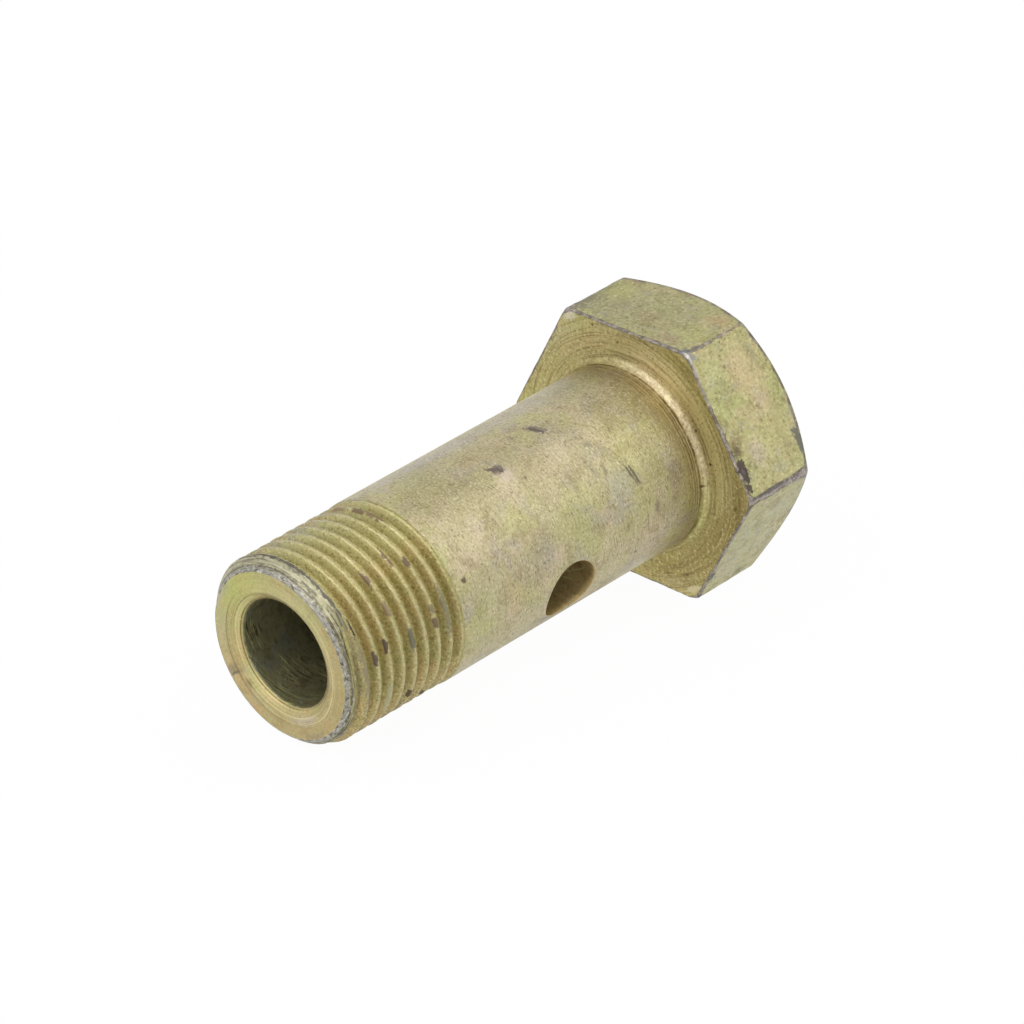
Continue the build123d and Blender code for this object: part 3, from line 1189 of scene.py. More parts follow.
# The turned bearing face and the root
turnedFinish = {
    "base": (188, 177, 122),
    "film": {
        "green": ((182, 178, 110), 0.7),
        "pink": ((202, 180, 130), 0.6),
        "brown": ((158, 140, 88), 0.6),
        "grey": ((182, 170, 134), 0.2),
    },
    "patch": 0.36,
    "seed": 60,
    "grain": (4.6, 3.4, 0.8, 0.75),
    "darkGrain": (126, 111, 68),
    "lightGrain": (226, 212, 166),
    "wideRings": (1, 2.6, 0.14, 3),
    "wideDark": (0.5, 0.32, 0, 0.45, (120, 104, 58)),
    "rings": (1, 8, 0.16, 3),
    "ringsDark": (0.48, 0.3, 0, 0.7, (120, 104, 58)),
    "ringsLight": (0.54, 0.7, 0, 0.45, (218, 204, 148)),
    "patches": [
        # painted highlight along the root fillet, pink and cream at turns 18 to 58
        (8.7, 58, 1.1, 11, 0, 0.9, 0.75, (230, 212, 202)),
        (8.75, 18, 1, 8, 0, 0.9, 0.6, (212, 190, 180)),
        # painted highlight: the turned face lighter from turn 2 to 62
        (10.6, 62, 3.6, 17, 0, 0.9, 0.9, (230, 216, 166)),
        (10.6, 28, 3.6, 13, 0, 0.9, 0.85, (222, 208, 156)),
        (10.6, 2, 3.2, 10, 0, 0.9, 0.7, (212, 200, 146)),
        (10.3, 60, 2.4, 8.5, 0, 0.9, 0.85, (242, 232, 188)),
        (8.6, -28, 0.9, 8, 0, 0.9, 0.8, (188, 194, 126)),
        (8.8, 108, 1.2, 6, 0, 0.9, 0.5, (180, 178, 116)),
        (12, 119, 2.4, 3, 0, 0.9, 0.6, (180, 178, 108)),
        (10.3, 106, 1.4, 5, 0, 0.9, 0.4, (176, 152, 100)),
        (11.4, 35, 3.4, 7, 0, 0.9, 0.3, (164, 154, 92)),
        (12, -8, 1.8, 10, 0, 0.9, 0.8, (130, 112, 60)),
        (10.4, -50, 3.6, 16, 0, 0.9, 0.75, (150, 134, 78)),
        (12.1, 66, 1.4, 4, 0, 0.9, 0.55, (160, 156, 84)),
        (11, 88, 2.2, 4.6, 0, 0.9, 0.6, (172, 154, 98)),
        # painted highlight on the turned face at turn 72
        (9.7, 72, 1.4, 4.5, 0, 0.9, 0.8, (240, 224, 180)),
        (12, 20, 1.6, 5, 0, 0.9, 0.4, (166, 152, 90)),
        (10.8, 130, 4, 10, 0, 0.9, 0.55, (164, 150, 100)),
        (11.6, 38, 1.6, 3, 0, 0.9, 0.5, (152, 148, 84)),
        (10, 46, 1.4, 3, 0, 0.9, 0.45, (204, 180, 140)),
        (9.8, 0, 1.7, 7, 0, 0.9, 0.6, (206, 198, 138)),
        (10.2, 24, 2.6, 9, 0, 0.9, 0.6, (212, 204, 154)),
        (12, 53, 1.5, 2.8, 0, 0.9, 0.6, (138, 128, 76)),
        (12, 90, 1.6, 5.4, 0, 0.9, 0.65, (138, 128, 92)),
        (11.9, 134, 1.5, 6, 0, 0.9, 0.75, (190, 184, 138)),
        (11.8, -70, 1.2, 3.4, 0, 0.9, 0.5, (184, 170, 128)),
        (10.8, -23, 1.8, 4.4, 0, 0.9, 0.55, (138, 122, 66)),
        # painted shade that dims the root fillet's highlight at turn 32
        (8.7, 32, 1.1, 5, 0, 0.9, 0.35, (160, 142, 114)),
        (10.9, -70, 0.4, 0.8, 0, 0.9, 0.7, (104, 88, 48)),
    ],
    "marks": [
        (12.95, 119.3, 1, 1.4, 0, 0.7, 0.75, (216, 209, 188)),
        (12.6, -58.4, 1.8, 0.5, -90, 0.4, 0.85, (206, 196, 156)),
        (11.73, 108.2, 0.3, 0.3, 0, 0.5, 0.85, (92, 76, 44)),
        (10.4, 94.9, 0.24, 0.25, 0, 0.5, 0.85, (92, 76, 44)),
        (8.99, 33, 0.24, 0.25, 0, 0.5, 0.85, (88, 72, 44)),
        (9.32, 13.7, 0.3, 0.28, 0, 0.4, 0.9, (72, 60, 34)),
        (8.41, 0.7, 0.25, 0.28, 0, 0.4, 0.9, (86, 66, 40)),
        (11.72, -5.6, 0.35, 0.5, 0, 0.5, 0.8, (104, 82, 42)),
        (11.2, -58.7, 0.3, 0.6, 0, 0.5, 0.8, (96, 84, 48)),
    ],
    "rubbedPatches": (2.4, 4, 0.7, 0.54, 0.44, 0, 0.34),
    "rubbedRadii": (9.3, 9.05),
    "rubbed": (150, 128, 92),
    "relief": (0.7, 0.05),
    "roughness": (0.46, 0.56),
    "metallic": 1,
}
tree, shader, film = newFinish("turnedFace", turnedFinish)
wideRings, rings = addLines(tree, turnedFinish["wideRings"]), addLines(tree, turnedFinish["rings"])
colour = addSpots(tree, film["Color"], turnedFinish["patches"], byRadius=1)
colour = tint(tree, colour, wideRings, turnedFinish["wideDark"])
colour = tint(tree, colour, rings, turnedFinish["ringsDark"])
colour = tint(tree, colour, rings, turnedFinish["ringsLight"])
colour, height = addGrain(tree, colour, turnedFinish)
colour = addSpots(tree, colour, turnedFinish["marks"], byRadius=1)
place = addPlace(tree)
rubbed = patches(tree, place["Position"], turnedFinish["rubbedPatches"])
rubbed = times(tree, rubbed, ramp(tree, place["Radius"], *turnedFinish["rubbedRadii"]))
colour = paint(tree, colour, rubbed, turnedFinish["rubbed"])
colour = paint(tree, colour, addGroup(tree, rootLines, {})["Mask"], rootLineSettings["tone"])
colour = addWear(tree, colour, addGroup(tree, edgeWear, {}))
endFinish(tree, shader, turnedFinish, colour, rings, calc(tree, "ADD", rings, height))

# The plain shank
shankFinish = {
    "base": (187, 178, 141),
    "film": {
        "green": ((185, 181, 127), 0.6),
        "pink": ((203, 185, 159), 0.55),
        "brown": ((159, 145, 109), 0.5),
        "grey": ((171, 163, 155), 0.5),
    },
    "patch": 0.22,
    "seed": 20,
    "grain": (6.5, 4.2, 0.85, 0.75),
    "darkGrain": (124, 113, 82),
    "lightGrain": (220, 210, 178),
    "lines": (0, 7, 0.9, 3),
    "linesDark": (0.5, 0.3, 0, 0.35, (138, 126, 92)),
    "linesLight": (0.55, 0.75, 0, 0.35, (212, 202, 168)),
    "strokes": [
        (0.85, (118, 108, 82), 9, 1.4, 0.25, 0.37),
        (0.6, (214, 204, 176), 8, 1.2, 0.25, 0.34),
    ],
    "pits": [(0.65, (108, 97, 72), 1.1, 0.11, 0.35)],
    "warmShare": 0.35,
    "warmRoot": (168, 146, 106),
    "patches": [
        (2.5, 99, 2.2, 5, 0, 0.9, 0.6, (148, 142, 106)),
        (6.3, 69, 1.8, 4, 10, 0.9, 0.5, (162, 154, 104)),
        (25.2, 79, 4.5, 3.4, 0, 0.9, 0.55, (162, 152, 112)),
        (2, 55, 2, 7.5, 0, 0.9, 0.5, (158, 140, 102)),
        (18.3, 86, 5, 2.4, 0, 0.9, 0.4, (164, 150, 112)),
        # painted shade along the whole shank that dims its lit band at turn 66
        (16, 66, 32, 4.4, 0, 0.9, 0.5, (160, 150, 114)),
        (3.5, 72, 4, 3.6, 0, 0.9, 0.4, (150, 140, 92)),
        # painted shadow below the cross hole
        (15, -48, 11, 3.8, 0, 0.9, 0.85, (146, 138, 110)),
        # painted reflection: a pale grey sheen along the top of the shank
        (15, 109, 16, 2.6, 0, 0.9, 0.7, (182, 174, 164)),
        (24, 112, 9, 2, 0, 0.9, 0.6, (178, 172, 164)),
        (3.4, 16.8, 1.2, 2, 0, 0.9, 0.6, (156, 140, 120)),
        (7.3, -30.9, 4, 3.6, 0, 0.9, 0.6, (188, 176, 158)),
        (7, 38, 2.6, 4.4, 0, 0.9, 0.4, (190, 184, 128)),
        (14.6, 18, 3.4, 4.2, 0, 0.9, 0.45, (176, 174, 122)),
        (26.1, 0.5, 2, 3.6, 0, 0.9, 0.5, (186, 188, 134)),
        (22.7, 3.5, 1.8, 3, 0, 0.9, 0.5, (198, 180, 130)),
        # painted highlight: cream patches in the shank's lit band, turns 50 to 63
        (26.5, 50.5, 3, 3, 0, 0.9, 0.3, (206, 192, 162)),
        (12.4, 61.2, 2.6, 2.6, 0, 0.9, 0.5, (208, 194, 166)),
        (8.6, 62.6, 2.4, 2, 0, 0.9, 0.4, (204, 190, 152)),
        (19.1, 56, 2, 2.6, 0, 0.9, 0.6, (208, 192, 166)),
        (20, 10.5, 3.6, 2.8, 0, 0.9, 0.55, (180, 168, 150)),
        (18.6, 15.5, 1.5, 2.2, 0, 0.9, 0.5, (158, 154, 138)),
        (9.3, 27, 2.2, 2.4, 0, 0.9, 0.55, (172, 170, 158)),
        (5, 30, 2, 3, 0, 0.9, 0.5, (160, 154, 96)),
        (23.5, 95, 5, 3, 0, 0.9, 0.35, (158, 152, 126)),
        # painted shade that dims the lit band at turn 49
        (14, 49, 9, 2.4, 0, 0.9, 0.35, (164, 154, 120)),
        (16.2, -33, 1.8, 2, 0, 0.9, 0.5, (146, 136, 104)),
        (25.5, -50, 4, 3, 0, 0.9, 0.5, (150, 144, 120)),
        (6.2, 104, 4, 4, 0, 0.9, 0.5, (158, 154, 130)),
        (9.88, 56.2, 0.7, 0.5, 0, 0.9, 0.65, (134, 128, 116)),
        (11, 42, 0.5, 1.6, -15, 0.9, 0.5, (128, 124, 108)),
    ],
    "marks": [
        (18.4, 65.3, 1.6, 1.3, 0, 0.7, 0.65, (206, 190, 176)),
        (18.55, 70, 1.15, 1, 0, 0.35, 0.9, (124, 114, 104)),
        (18.9, 71.8, 1.1, 0.4, 30, 0.3, 0.9, (110, 100, 90)),
        (18.35, 69.6, 0.5, 0.7, 0, 0.4, 0.9, (106, 96, 86)),
        (18.1, 70.8, 0.45, 0.5, 0, 0.4, 0.8, (134, 124, 112)),
        (12.3, 81.4, 0.75, 2.1, -30, 0.35, 0.85, (128, 118, 108)),
        (12.35, 80.6, 0.4, 1.5, -30, 0.3, 0.85, (104, 94, 86)),
        (14.79, 84.8, 0.5, 0.8, -30, 0.8, 0.6, (138, 128, 110)),
        (7.75, 30.6, 0.24, 1.7, -12, 0.4, 0.9, (116, 110, 90)),
        (7.35, 29, 0.24, 1.9, -12, 0.4, 0.9, (110, 104, 84)),
        (7.45, 25, 0.3, 0.9, -20, 0.6, 0.7, (128, 120, 96)),
        (27.75, 25, 0.42, 0.5, 0, 0.4, 0.9, (104, 90, 72)),
        (5.83, 4.8, 0.35, 0.9, 0, 0.8, 0.6, (122, 108, 92)),
        (9.4, 2.4, 0.35, 0.6, 0, 0.8, 0.55, (122, 110, 90)),
        (7, -1.9, 0.16, 1.6, 0, 0.6, 0.5, (128, 114, 94)),
        (17.1, 57.4, 0.3, 0.4, 0, 0.5, 0.7, (116, 102, 82)),
        (9.94, 39.2, 0.3, 1.1, 0, 0.8, 0.6, (124, 114, 96)),
        (8.25, -19, 0.3, 0.3, 0, 0.5, 0.7, (112, 100, 84)),
        (18.3, -34.5, 1, 0.5, 0, 0.5, 0.8, (140, 134, 130)),
        (13.9, -37, 2.4, 0.9, 0, 0.8, 0.7, (200, 174, 120)),
    ],
    "grainDepth": 1.2,
    "relief": (0.5, 0.035),
    "roughness": (0.44, 0.54),
    "metallic": 1,
}
tree, shader, film = newFinish("plainShank", shankFinish)
lines = addLines(tree, shankFinish["lines"])
colour = addSpots(tree, film["Color"], shankFinish["patches"])
colour = tint(tree, colour, lines, shankFinish["linesDark"])
colour = tint(tree, colour, lines, shankFinish["linesLight"])
colour, height = addGrain(tree, colour, shankFinish)
colour = addStrokes(tree, colour, shankFinish)
colour = addPits(tree, colour, shankFinish)
rootMarks = addGroup(tree, rootLines, {})
warm = times(tree, rootMarks["Warm"], shankFinish["warmShare"])
colour = paint(tree, colour, warm, shankFinish["warmRoot"])
colour = paint(tree, colour, rootMarks["Mask"], rootLineSettings["tone"])
colour = addSpots(tree, colour, shankFinish["marks"])
height = calc(tree, "MULTIPLY_ADD", height, shankFinish["grainDepth"], lines)
endFinish(tree, shader, shankFinish, colour, film["Patches"], height)

# The thread. Its chips lie along the crest
threadFinish = {
    "base": (168, 160, 106),
    "film": {
        "green": ((160, 160, 100), 0.7),
        "pink": ((182, 162, 114), 0.5),
        "brown": ((148, 132, 84), 0.4),
        "grey": ((158, 152, 118), 0.4),
    },
    "patch": 0.34,
    "seed": 40,
    "grain": (7.5, 4.4, 0.9, 0.85),
    "darkGrain": (116, 106, 66),
    "lightGrain": (216, 208, 158),
    "stainsAndSheen": [
        (39, 81, 0.35, 1.1, 0, 0.4, 0.9, (70, 58, 46)),
        (39.2, 92.3, 0.3, 1.1, 0, 0.4, 0.9, (76, 64, 50)),
        (33.46, 28.1, 0.35, 0.35, 0, 0.5, 0.85, (84, 66, 34)),
        (36, -20, 5, 7, 0, 0.9, 0.3, (182, 158, 102)),
        (33, 62, 5, 6, 0, 0.9, 0.35, (184, 160, 104)),
        (37.5, 75, 3, 5, 0, 0.9, 0.4, (178, 152, 98)),
        # painted reflection: a pale grey sheen along the top of the thread
        (34.5, 114, 13, 4.6, 0, 0.9, 0.9, (158, 158, 152)),
        # darker along the underside
        (35, -52, 13, 4, 0, 0.9, 0.8, (128, 122, 96)),
        (35, 2, 13, 6, 0, 0.9, 0.5, (176, 172, 126)),
    ],
    # painted light: the thread's valleys lighter, against the shade that falls in them
    "valley": (0.5, 0.1, 0, 0.45, (186, 178, 124)),
    "warmFlank": (0.2, 0.9),
    "warmPatches": (0.3, 3, 0.6, 0.36, 0.6, 0.15, 0.75),
    "warm": (187, 163, 113),
    "topStarts": (45, 68),
    "topEnds": (125, 100),
    "litFlank": (0, 0.8),
    "litShare": 0.85,
    "lit": (188, 182, 130),
    "crestCloud": (2.4, 3, 0.6),
    "crestRagged": 0.4,
    # painted highlight along the crest line
    "crest": (0.88, 1.02, 0, 0.5, (206, 196, 160)),
    "onCrest": (0.6, 0.75),
    "chips": [
        (30.6, 96, 1.3, 0.5, 88.5, 0.2, 0.9, (124, 104, 82)),
        (30.42, 84, 2.4, 0.5, 88.5, 0.2, 0.9, (128, 108, 86)),
        (30.8, 111.6, 1.8, 0.5, 88.5, 0.4, 0.7, (140, 118, 92)),
        (32.95, 57.6, 1.6, 0.5, 88.5, 0.2, 0.95, (124, 106, 86)),
        (31.66, 49, 1, 0.5, 88.5, 0.2, 0.95, (112, 94, 82)),
        (35.9, 52, 1.5, 0.5, 88.5, 0.2, 0.9, (124, 106, 90)),
        (30.2, 15, 4.4, 0.55, 88.5, 0.3, 0.8, (128, 124, 104)),
        (31.57, 19.5, 0.7, 0.5, 88.5, 0.2, 0.9, (138, 128, 104)),
        (31.57, 11, 0.9, 0.5, 88.5, 0.2, 0.95, (120, 104, 86)),
        (34.23, 10.2, 2.2, 0.7, 88.5, 0.2, 0.95, (122, 120, 102)),
        (37.1, 14.6, 1.2, 0.55, 88.5, 0.2, 0.95, (96, 84, 72)),
        (38.4, 10.8, 1.3, 0.55, 88.5, 0.2, 0.95, (104, 92, 82)),
        (35.7, 32.5, 1.6, 0.4, 88.5, 0.3, 0.8, (138, 116, 96)),
        (39.5, 8, 7.5, 0.5, 88.5, 0.3, 0.75, (138, 128, 110)),
        (39.4, 33, 2, 0.7, 88.5, 0.3, 0.95, (78, 64, 62)),
        (34.27, -28.9, 0.9, 0.9, 88.5, 0.3, 0.95, (88, 72, 54)),
        (31.6, -45, 0.9, 0.5, 88.5, 0.3, 0.9, (104, 92, 70)),
        (38.2, 60, 2.4, 0.4, 88.5, 0.5, 0.6, (150, 128, 104)),
        (36.9, -20, 3, 0.4, 88.5, 0.5, 0.6, (172, 170, 142)),
    ],
    "relief": (0.6, 0.04),
    "roughness": (0.46, 0.56),
    "metallic": 1,
}
tree, shader, film = newFinish("rolledThread", threadFinish)
place = addPlace(tree)
crest, flankMark = readMark(tree, "crest"), readMark(tree, "flankMark")
# stains and tone patches, with a painted reflection along the top of the thread
colour = addSpots(tree, film["Color"], threadFinish["stainsAndSheen"])
# painted light in the thread's valleys
colour = tint(tree, colour, crest, threadFinish["valley"])
warm = ramp(tree, flankMark, *threadFinish["warmFlank"])
warm = times(tree, warm, patches(tree, place["Position"], threadFinish["warmPatches"]))
colour = paint(tree, colour, warm, threadFinish["warm"])
onTop = (ramp(tree, place["Turn"], *threadFinish[name]) for name in ("topStarts", "topEnds"))
lit = times(tree, ramp(tree, flankMark, *threadFinish["litFlank"]), times(tree, *onTop))
colour = paint(tree, colour, times(tree, lit, threadFinish["litShare"]), threadFinish["lit"])
colour, height = addGrain(tree, colour, threadFinish)
crestLine = unevenness(tree, place["Position"], threadFinish["crestCloud"])
crestLine = calc(tree, "MULTIPLY_ADD", crestLine, threadFinish["crestRagged"], crest)
# painted highlight: a lighter ragged line along the crest
colour = tint(tree, colour, crestLine, threadFinish["crest"])
onCrest = ramp(tree, crest, *threadFinish["onCrest"])
colour = addSpots(tree, colour, threadFinish["chips"], within=onCrest)

# The chamfered tip: a scuffed rim, turned lines, and a dark broken line where the thread begins. How
# ragged a line is comes before its ramp
chamferSettings = {
    "raggedCloud": (1.6, 4, 0.65),
    "chamferEdge": (0.3, 0.2, 0.12),
    "lines": (0, 8.5, 0.4, 4),
    "upperTurns": (30, 62),
    "upper": (175, 171, 141),
    "lower": (160, 154, 112),
    "darkLines": (0.5, 0.4),
    "darkShares": (-0.2, 0.85),
    "lightLines": (0.56, 0.7, 0, 0.8, (206, 203, 190)),
    "coarseGrain": {"Along": 3.4, "Round": 1.1, "Seed": 7},
    "fineGrain": {"Along": 7, "Round": 2.4, "Seed": 11},
    "rimGrain": [("Dark", 0.8, (94, 90, 92)), ("Light", 0.9, (206, 203, 190))],
    "chamferGrain": [("Dark", 0.5, (96, 92, 80)), ("Light", 0.5, (214, 210, 190))],
    "rim": (156, 153, 143),
    "dark": (88, 83, 76),
    "rimWidth": 0.3,
    "rimRagged": 0.7,
    "rimBlend": 0.05,
    "rimLineBefore": 0.1,
    "rimLine": (0.45, 0.1, 0.03, 0, 0.65),
    "startBefore": 0.02,
    "startLine": (0.55, 0.15, 0.07),
    "startTurns": (30, 55, 0.4, 1),
    "endTurns": (122, 104),
    "startShare": 0.85,
    "lineDepth": 1.5,
}
dark = chamferSettings["dark"]
ragged = unevenness(tree, place["Position"], chamferSettings["raggedCloud"])


def raggedLine(level, middle, look):
    amount, *ends = look
    return ramp(tree, calc(tree, "MULTIPLY_ADD", ragged, amount, gapFrom(tree, level, middle)), *ends)


def paintGrain(colour, specks, looks):
    for name, share, shade in looks:
        colour = paint(tree, colour, times(tree, specks[name], share), shade)
    return colour


coneStart = threadRadius + threadEnd * chamferSlope
coneRadius = calc(tree, "MULTIPLY_ADD", place["Along"], -chamferSlope, coneStart)
onChamfer = raggedLine(coneRadius, place["Radius"], chamferSettings["chamferEdge"])
lines = addLines(tree, chamferSettings["lines"])
upper = ramp(tree, place["Turn"], *chamferSettings["upperTurns"])
chamfer = paint(tree, chamferSettings["lower"], upper, chamferSettings["upper"])
darkShare = calc(tree, "MULTIPLY_ADD", upper, *chamferSettings["darkShares"])
darkLines = times(tree, ramp(tree, lines, *chamferSettings["darkLines"]), darkShare)
chamfer = paint(tree, chamfer, darkLines, dark)
chamfer = tint(tree, chamfer, lines, chamferSettings["lightLines"])
coarseGrain = addGroup(tree, grain, chamferSettings["coarseGrain"])
fineGrain = addGroup(tree, grain, chamferSettings["fineGrain"])
rim = paint(tree, chamferSettings["rim"], coarseGrain["Dark"], dark)
rim = paintGrain(rim, fineGrain, chamferSettings["rimGrain"])
rimStart = tipEnd - chamferSettings["rimWidth"]
toRim = calc(tree, "MULTIPLY_ADD", ragged, chamferSettings["rimRagged"], place["Along"])
rimBlend = chamferSettings["rimBlend"]
chamfer = paint(tree, chamfer, ramp(tree, toRim, rimStart - rimBlend, rimStart + rimBlend), rim)
lineMiddle = rimStart - chamferSettings["rimLineBefore"]
rimLine = raggedLine(place["Along"], lineMiddle, chamferSettings["rimLine"])
chamfer = paint(tree, chamfer, rimLine, dark)
chamfer = paintGrain(chamfer, fineGrain, chamferSettings["chamferGrain"])
colour = paint(tree, colour, onChamfer, chamfer)
lineMiddle = threadEnd - chamferSettings["startBefore"]
startLine = raggedLine(place["Along"], lineMiddle, chamferSettings["startLine"])
startSides = (ramp(tree, place["Turn"], *chamferSettings[name]) for name in ("startTurns", "endTurns"))
startLine = times(tree, startLine, times(tree, *startSides), chamferSettings["startShare"])
colour = paint(tree, colour, startLine, dark)
lineHeight = times(tree, lines, onChamfer)
height = calc(tree, "MULTIPLY_ADD", lineHeight, chamferSettings["lineDepth"], height)
endFinish(tree, shader, threadFinish, colour, film["Patches"], height)

# The end face and the mouth of the bore
tipFinish = {
    "base": (186, 174, 124),
    "film": {
        "green": ((178, 180, 118), 0.6),
        "pink": ((198, 172, 126), 0.7),
        "brown": ((158, 140, 92), 0.3),
        "grey": ((174, 164, 140), 0.3),
    },
    "patch": 0.26,
    "seed": 80,
    "grain": (5, 5, 0.5, 0.45),
    "darkGrain": (150, 134, 88),
    "lightGrain": (220, 206, 156),
    "marks": [
        (6.6, 140, 2.6, 9, 0, 0.9, 0.7, (188, 194, 112)),
        (6.6, -18, 2.6, 9, 0, 0.9, 0.6, (178, 158, 108)),
        (6.8, -70, 2.4, 8, 0, 0.9, 0.5, (182, 160, 116)),
        (5.7, -66, 0.7, 3.2, 0, 0.6, 0.7, (196, 186, 164)),
        (6.75, -149.5, 1.3, 0.8, 20, 0.7, 0.7, (130, 120, 102)),
        (6.4, -146.5, 1.5, 0.25, 0, 0.5, 0.75, (106, 98, 90)),
        (7.1, 150, 0.5, 3, 0, 0.7, 0.5, (176, 172, 152)),
        (5.65, -134, 0.5, 0.9, 0, 0.6, 0.6, (112, 98, 66)),
        (6.9, -118, 0.9, 1.6, 0, 0.6, 0.5, (196, 158, 110)),
        (7.05, -60, 0.5, 2.2, 0, 0.6, 0.6, (150, 134, 112)),
        (6.7, 176, 1.8, 4, 0, 0.9, 0.6, (184, 178, 142)),
        (6.6, 70, 2, 8, 0, 0.9, 0.4, (190, 188, 136)),
    ],
    "rings": (1, 6, 0.08, 3),
    "mouthRadii": (6.6, 5.9, 0.22, 1),
    "darkRings": ((0.5, 0.32), 0.95, (126, 109, 64)),
    "lightRings": ((0.53, 0.68), 0.7, (226, 214, 164)),
    "relief": (0.5, 0.04),
    "roughness": (0.38, 0.5),
    "metallic": 1,
}
tree, shader, film = newFinish("endFace", tipFinish)
rings = addLines(tree, tipFinish["rings"])
inMouth = ramp(tree, addPlace(tree)["Radius"], *tipFinish["mouthRadii"])
colour = addSpots(tree, film["Color"], tipFinish["marks"], byRadius=1)
for name in ("darkRings", "lightRings"):
    ends, share, shade = tipFinish[name]
    colour = paint(tree, colour, times(tree, ramp(tree, rings, *ends), inMouth, share), shade)
colour, _ = addGrain(tree, colour, tipFinish)
colour = addWear(tree, colour, addGroup(tree, edgeWear, {}))
endFinish(tree, shader, tipFinish, colour, film["Patches"], rings)

# The bore and the cross hole
boreFinish = {
    "base": (142, 138, 104),
    "film": {
        "green": ((130, 130, 94), 0.7),
        "pink": ((156, 146, 110), 0.5),
        "brown": ((108, 98, 66), 0.7),
        "grey": ((134, 136, 126), 0.6),
    },
    "patch": 0.3,
    "seed": 100,
    "grain": (4, 3, 0.45, 0.3),
    "darkGrain": (78, 72, 50),
    "lightGrain": (176, 172, 134),
    "crossHole": (boreRadius + 0.05, boreRadius + 0.6, 0, 0.8, (178, 152, 98)),
    "lines": (0, 7, 0.9, 3),
    "linesDark": (0.45, 0.3, 0, 0.35, (78, 72, 50)),
    "strokes": [
        (0.9, (196, 194, 132), 9, 0.5, 0.2, 0.43),
        # painted glints: pale blue-grey strokes on the bore wall
        (0.8, (176, 178, 152), 6, 0.8, -0.5, 0.38),
        (0.8, (70, 66, 44), 4, 0.7, 0.2, 0.4),
    ],
    "relief": (0.5, 0.04),
    "roughness": (0.34, 0.5),
    "metallic": 0.6,
}
tree, shader, film = newFinish("boreWall", boreFinish)
lines = addLines(tree, boreFinish["lines"])
colour = tint(tree, film["Color"], addPlace(tree)["Radius"], boreFinish["crossHole"])
colour = tint(tree, colour, lines, boreFinish["linesDark"])
colour, _ = addGrain(tree, colour, boreFinish)
colour = addStrokes(tree, colour, boreFinish)
endFinish(tree, shader, boreFinish, colour, lines, lines)

# The floor: the bolt rests on a corner of its head and on the rim of its tip. It turns white outwards
print("floor, light and camera")
floorSettings = {
    "slope": 0.0855,
    "drop": 0.02,
    "radius": 130,
    "turnStep": 3,
    "tone": (0.9, 0.9, 0.9, 1),
    "whiteRadii": (0.03, 0.1),
    "whiteShares": (0.97, 1),
}
floorMesh = bpy.data.meshes.new("floor")
floorMiddle = Vector((tipEnd / 2, 0, 0))
floorPoints = []
for turn in range(0, 360, floorSettings["turnStep"]):
    x = floorMiddle.x + floorSettings["radius"] * cos(radians(turn))
    y = floorSettings["radius"] * sin(radians(turn))
    z = -flatDistance + floorSettings["slope"] * x - floorSettings["drop"]
    floorPoints.append((x * mm, y * mm, z * mm))
floorMesh.from_pydata(floorPoints, [], [list(range(len(floorPoints)))])
floorObject = bpy.data.objects.new("floor", floorMesh)
bpy.context.scene.collection.objects.link(floorObject)

whiteLight = {"Color": (1, 1, 1, 1), "Strength": 1}


def whiteRays(tree):
    # rays that see plain white: from the camera, off the metal and through it
    path = tree.nodes.new("ShaderNodeLightPath").outputs
    seen = calc(tree, "MAXIMUM", path["Is Camera Ray"], path["Is Glossy Ray"])
    return calc(tree, "MAXIMUM", seen, path["Is Transmission Ray"])


def mixShaders(tree, factor, first, second):
    return addNode(tree, "ShaderNodeMixShader", {0: factor, 1: first.outputs[0], 2: second.outputs[0]})


material = bpy.data.materials.new("paleFloor")
material.use_nodes = True
tree = material.node_tree
tree.nodes.clear()
matte = addNode(tree, "ShaderNodeBsdfDiffuse", {"Color": floorSettings["tone"]})
white = addNode(tree, "ShaderNodeEmission", whiteLight)
clear = addNode(tree, "ShaderNodeBsdfTransparent", {"Color": (1, 1, 1, 1)})
sides = tree.nodes.new("ShaderNodeNewGeometry").outputs
onFloor = tree.nodes.new("ShaderNodeTexCoord").outputs["Object"]
fromMiddle = vectorCalc(tree, "DISTANCE", onFloor, floorMiddle * mm)["Value"]
outward = ramp(tree, fromMiddle, *floorSettings["whiteRadii"], *floorSettings["whiteShares"])
lit = mixShaders(tree, times(tree, whiteRays(tree), outward), matte, white)
twoSided = mixShaders(tree, sides["Backfacing"], lit, clear)
addNode(tree, "ShaderNodeOutputMaterial", {"Surface": twoSided.outputs[0]})
floorMesh.materials.append(material)

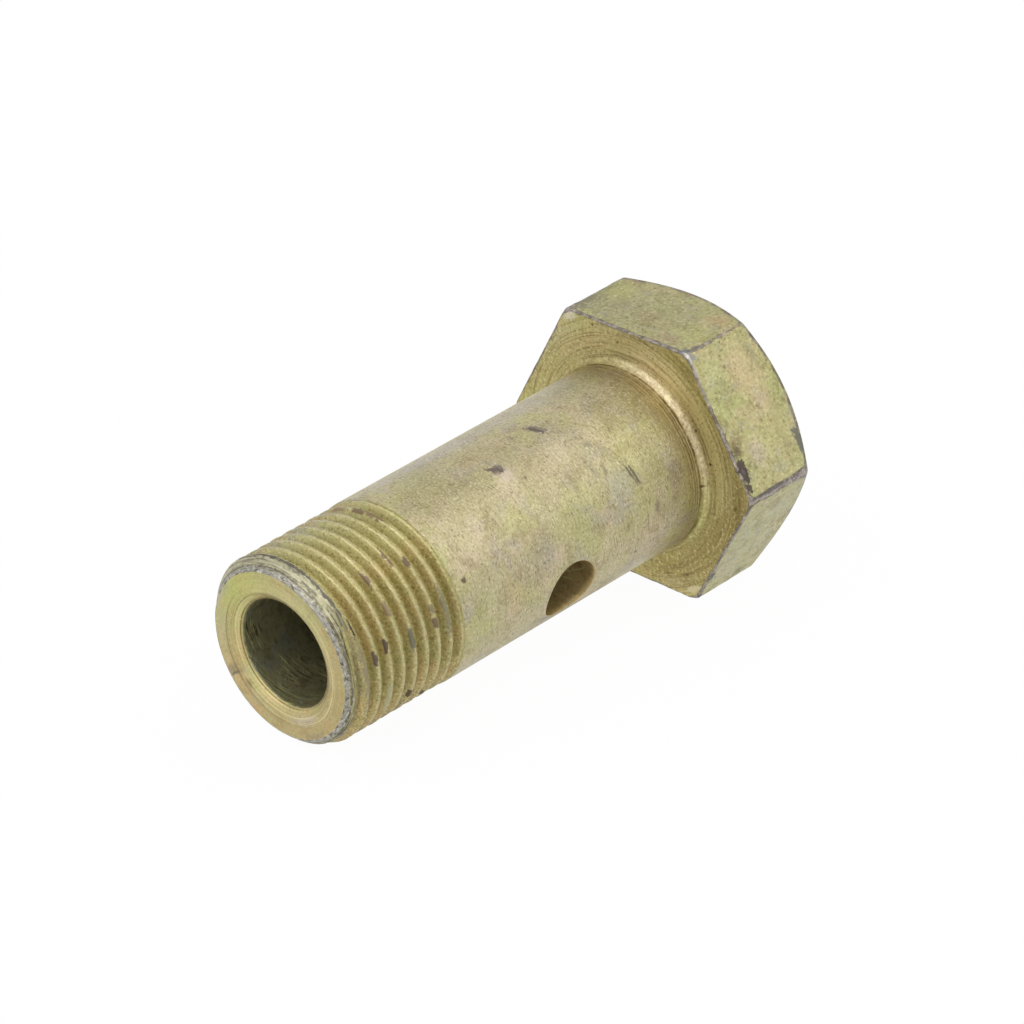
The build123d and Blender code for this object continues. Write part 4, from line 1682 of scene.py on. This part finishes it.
# The world: white to the eye and to the metal, a plain soft light on everything else
lightSettings = {
    "world": 0.8,
    "keyLight": {"from": (-0.609, 0.41, 0.68), "distance": 260, "size": 300, "power": 0.12},
    "fillLight": {"from": (0.6, 0.1, 0.79), "distance": 300, "size": 320, "power": 0.3},
}
world = bpy.data.worlds.new("studio")
bpy.context.scene.world = world
world.use_nodes = True
tree = world.node_tree
tree.nodes.clear()
plain = addNode(tree, "ShaderNodeBackground", {"Color": (1, 1, 1, 1), "Strength": lightSettings["world"]})
white = addNode(tree, "ShaderNodeBackground", whiteLight)
worldMix = mixShaders(tree, whiteRays(tree), plain, white)
addNode(tree, "ShaderNodeOutputWorld", {"Surface": worldMix.outputs[0]})

boltMiddle = Vector(((headTop + tipEnd) / 2, 0, 0))
for name in ("keyLight", "fillLight"):
    settings = lightSettings[name]
    light = bpy.data.lights.new(name, "AREA")
    light.shape = "DISK"
    light.size = settings["size"] * mm
    light.energy = settings["power"]
    lamp = bpy.data.objects.new(name, light)
    direction = Vector(settings["from"]).normalized()
    lamp.location = (boltMiddle + direction * settings["distance"]) * mm
    lamp.rotation_euler = direction.to_track_quat("Z", "Y").to_euler()
    bpy.context.scene.collection.objects.link(lamp)

# The camera, turned about the bolt from the front, raised and rolled
viewSettings = {
    "azimuth": 135.34,
    "elevation": 29.98,
    "roll": -3.563,
    "target": (14.38, 0, 0.98),
    "distance": 413.89,
    "lens": 177.36,
    "sensor": 36,
    "clipStart": 10,
}
azimuth, elevation = radians(viewSettings["azimuth"]), radians(viewSettings["elevation"])
toCamera = Vector((sin(azimuth) * cos(elevation), -cos(azimuth) * cos(elevation), sin(elevation)))
camera = bpy.data.cameras.new("camera")
camera.lens = viewSettings["lens"]
camera.sensor_width = viewSettings["sensor"]
camera.clip_start = viewSettings["clipStart"] * mm
cameraObject = bpy.data.objects.new("camera", camera)
cameraAt = Vector(viewSettings["target"]) + toCamera * viewSettings["distance"]
cameraPlace = Matrix.Translation(cameraAt * mm)
rolled = Matrix.Rotation(radians(viewSettings["roll"]), 4, "Z")
cameraObject.matrix_world = cameraPlace @ toCamera.to_track_quat("Z", "Y").to_matrix().to_4x4() @ rolled
bpy.context.scene.collection.objects.link(cameraObject)
bpy.context.scene.camera = cameraObject
bpy.context.scene.view_settings.view_transform = "Standard"
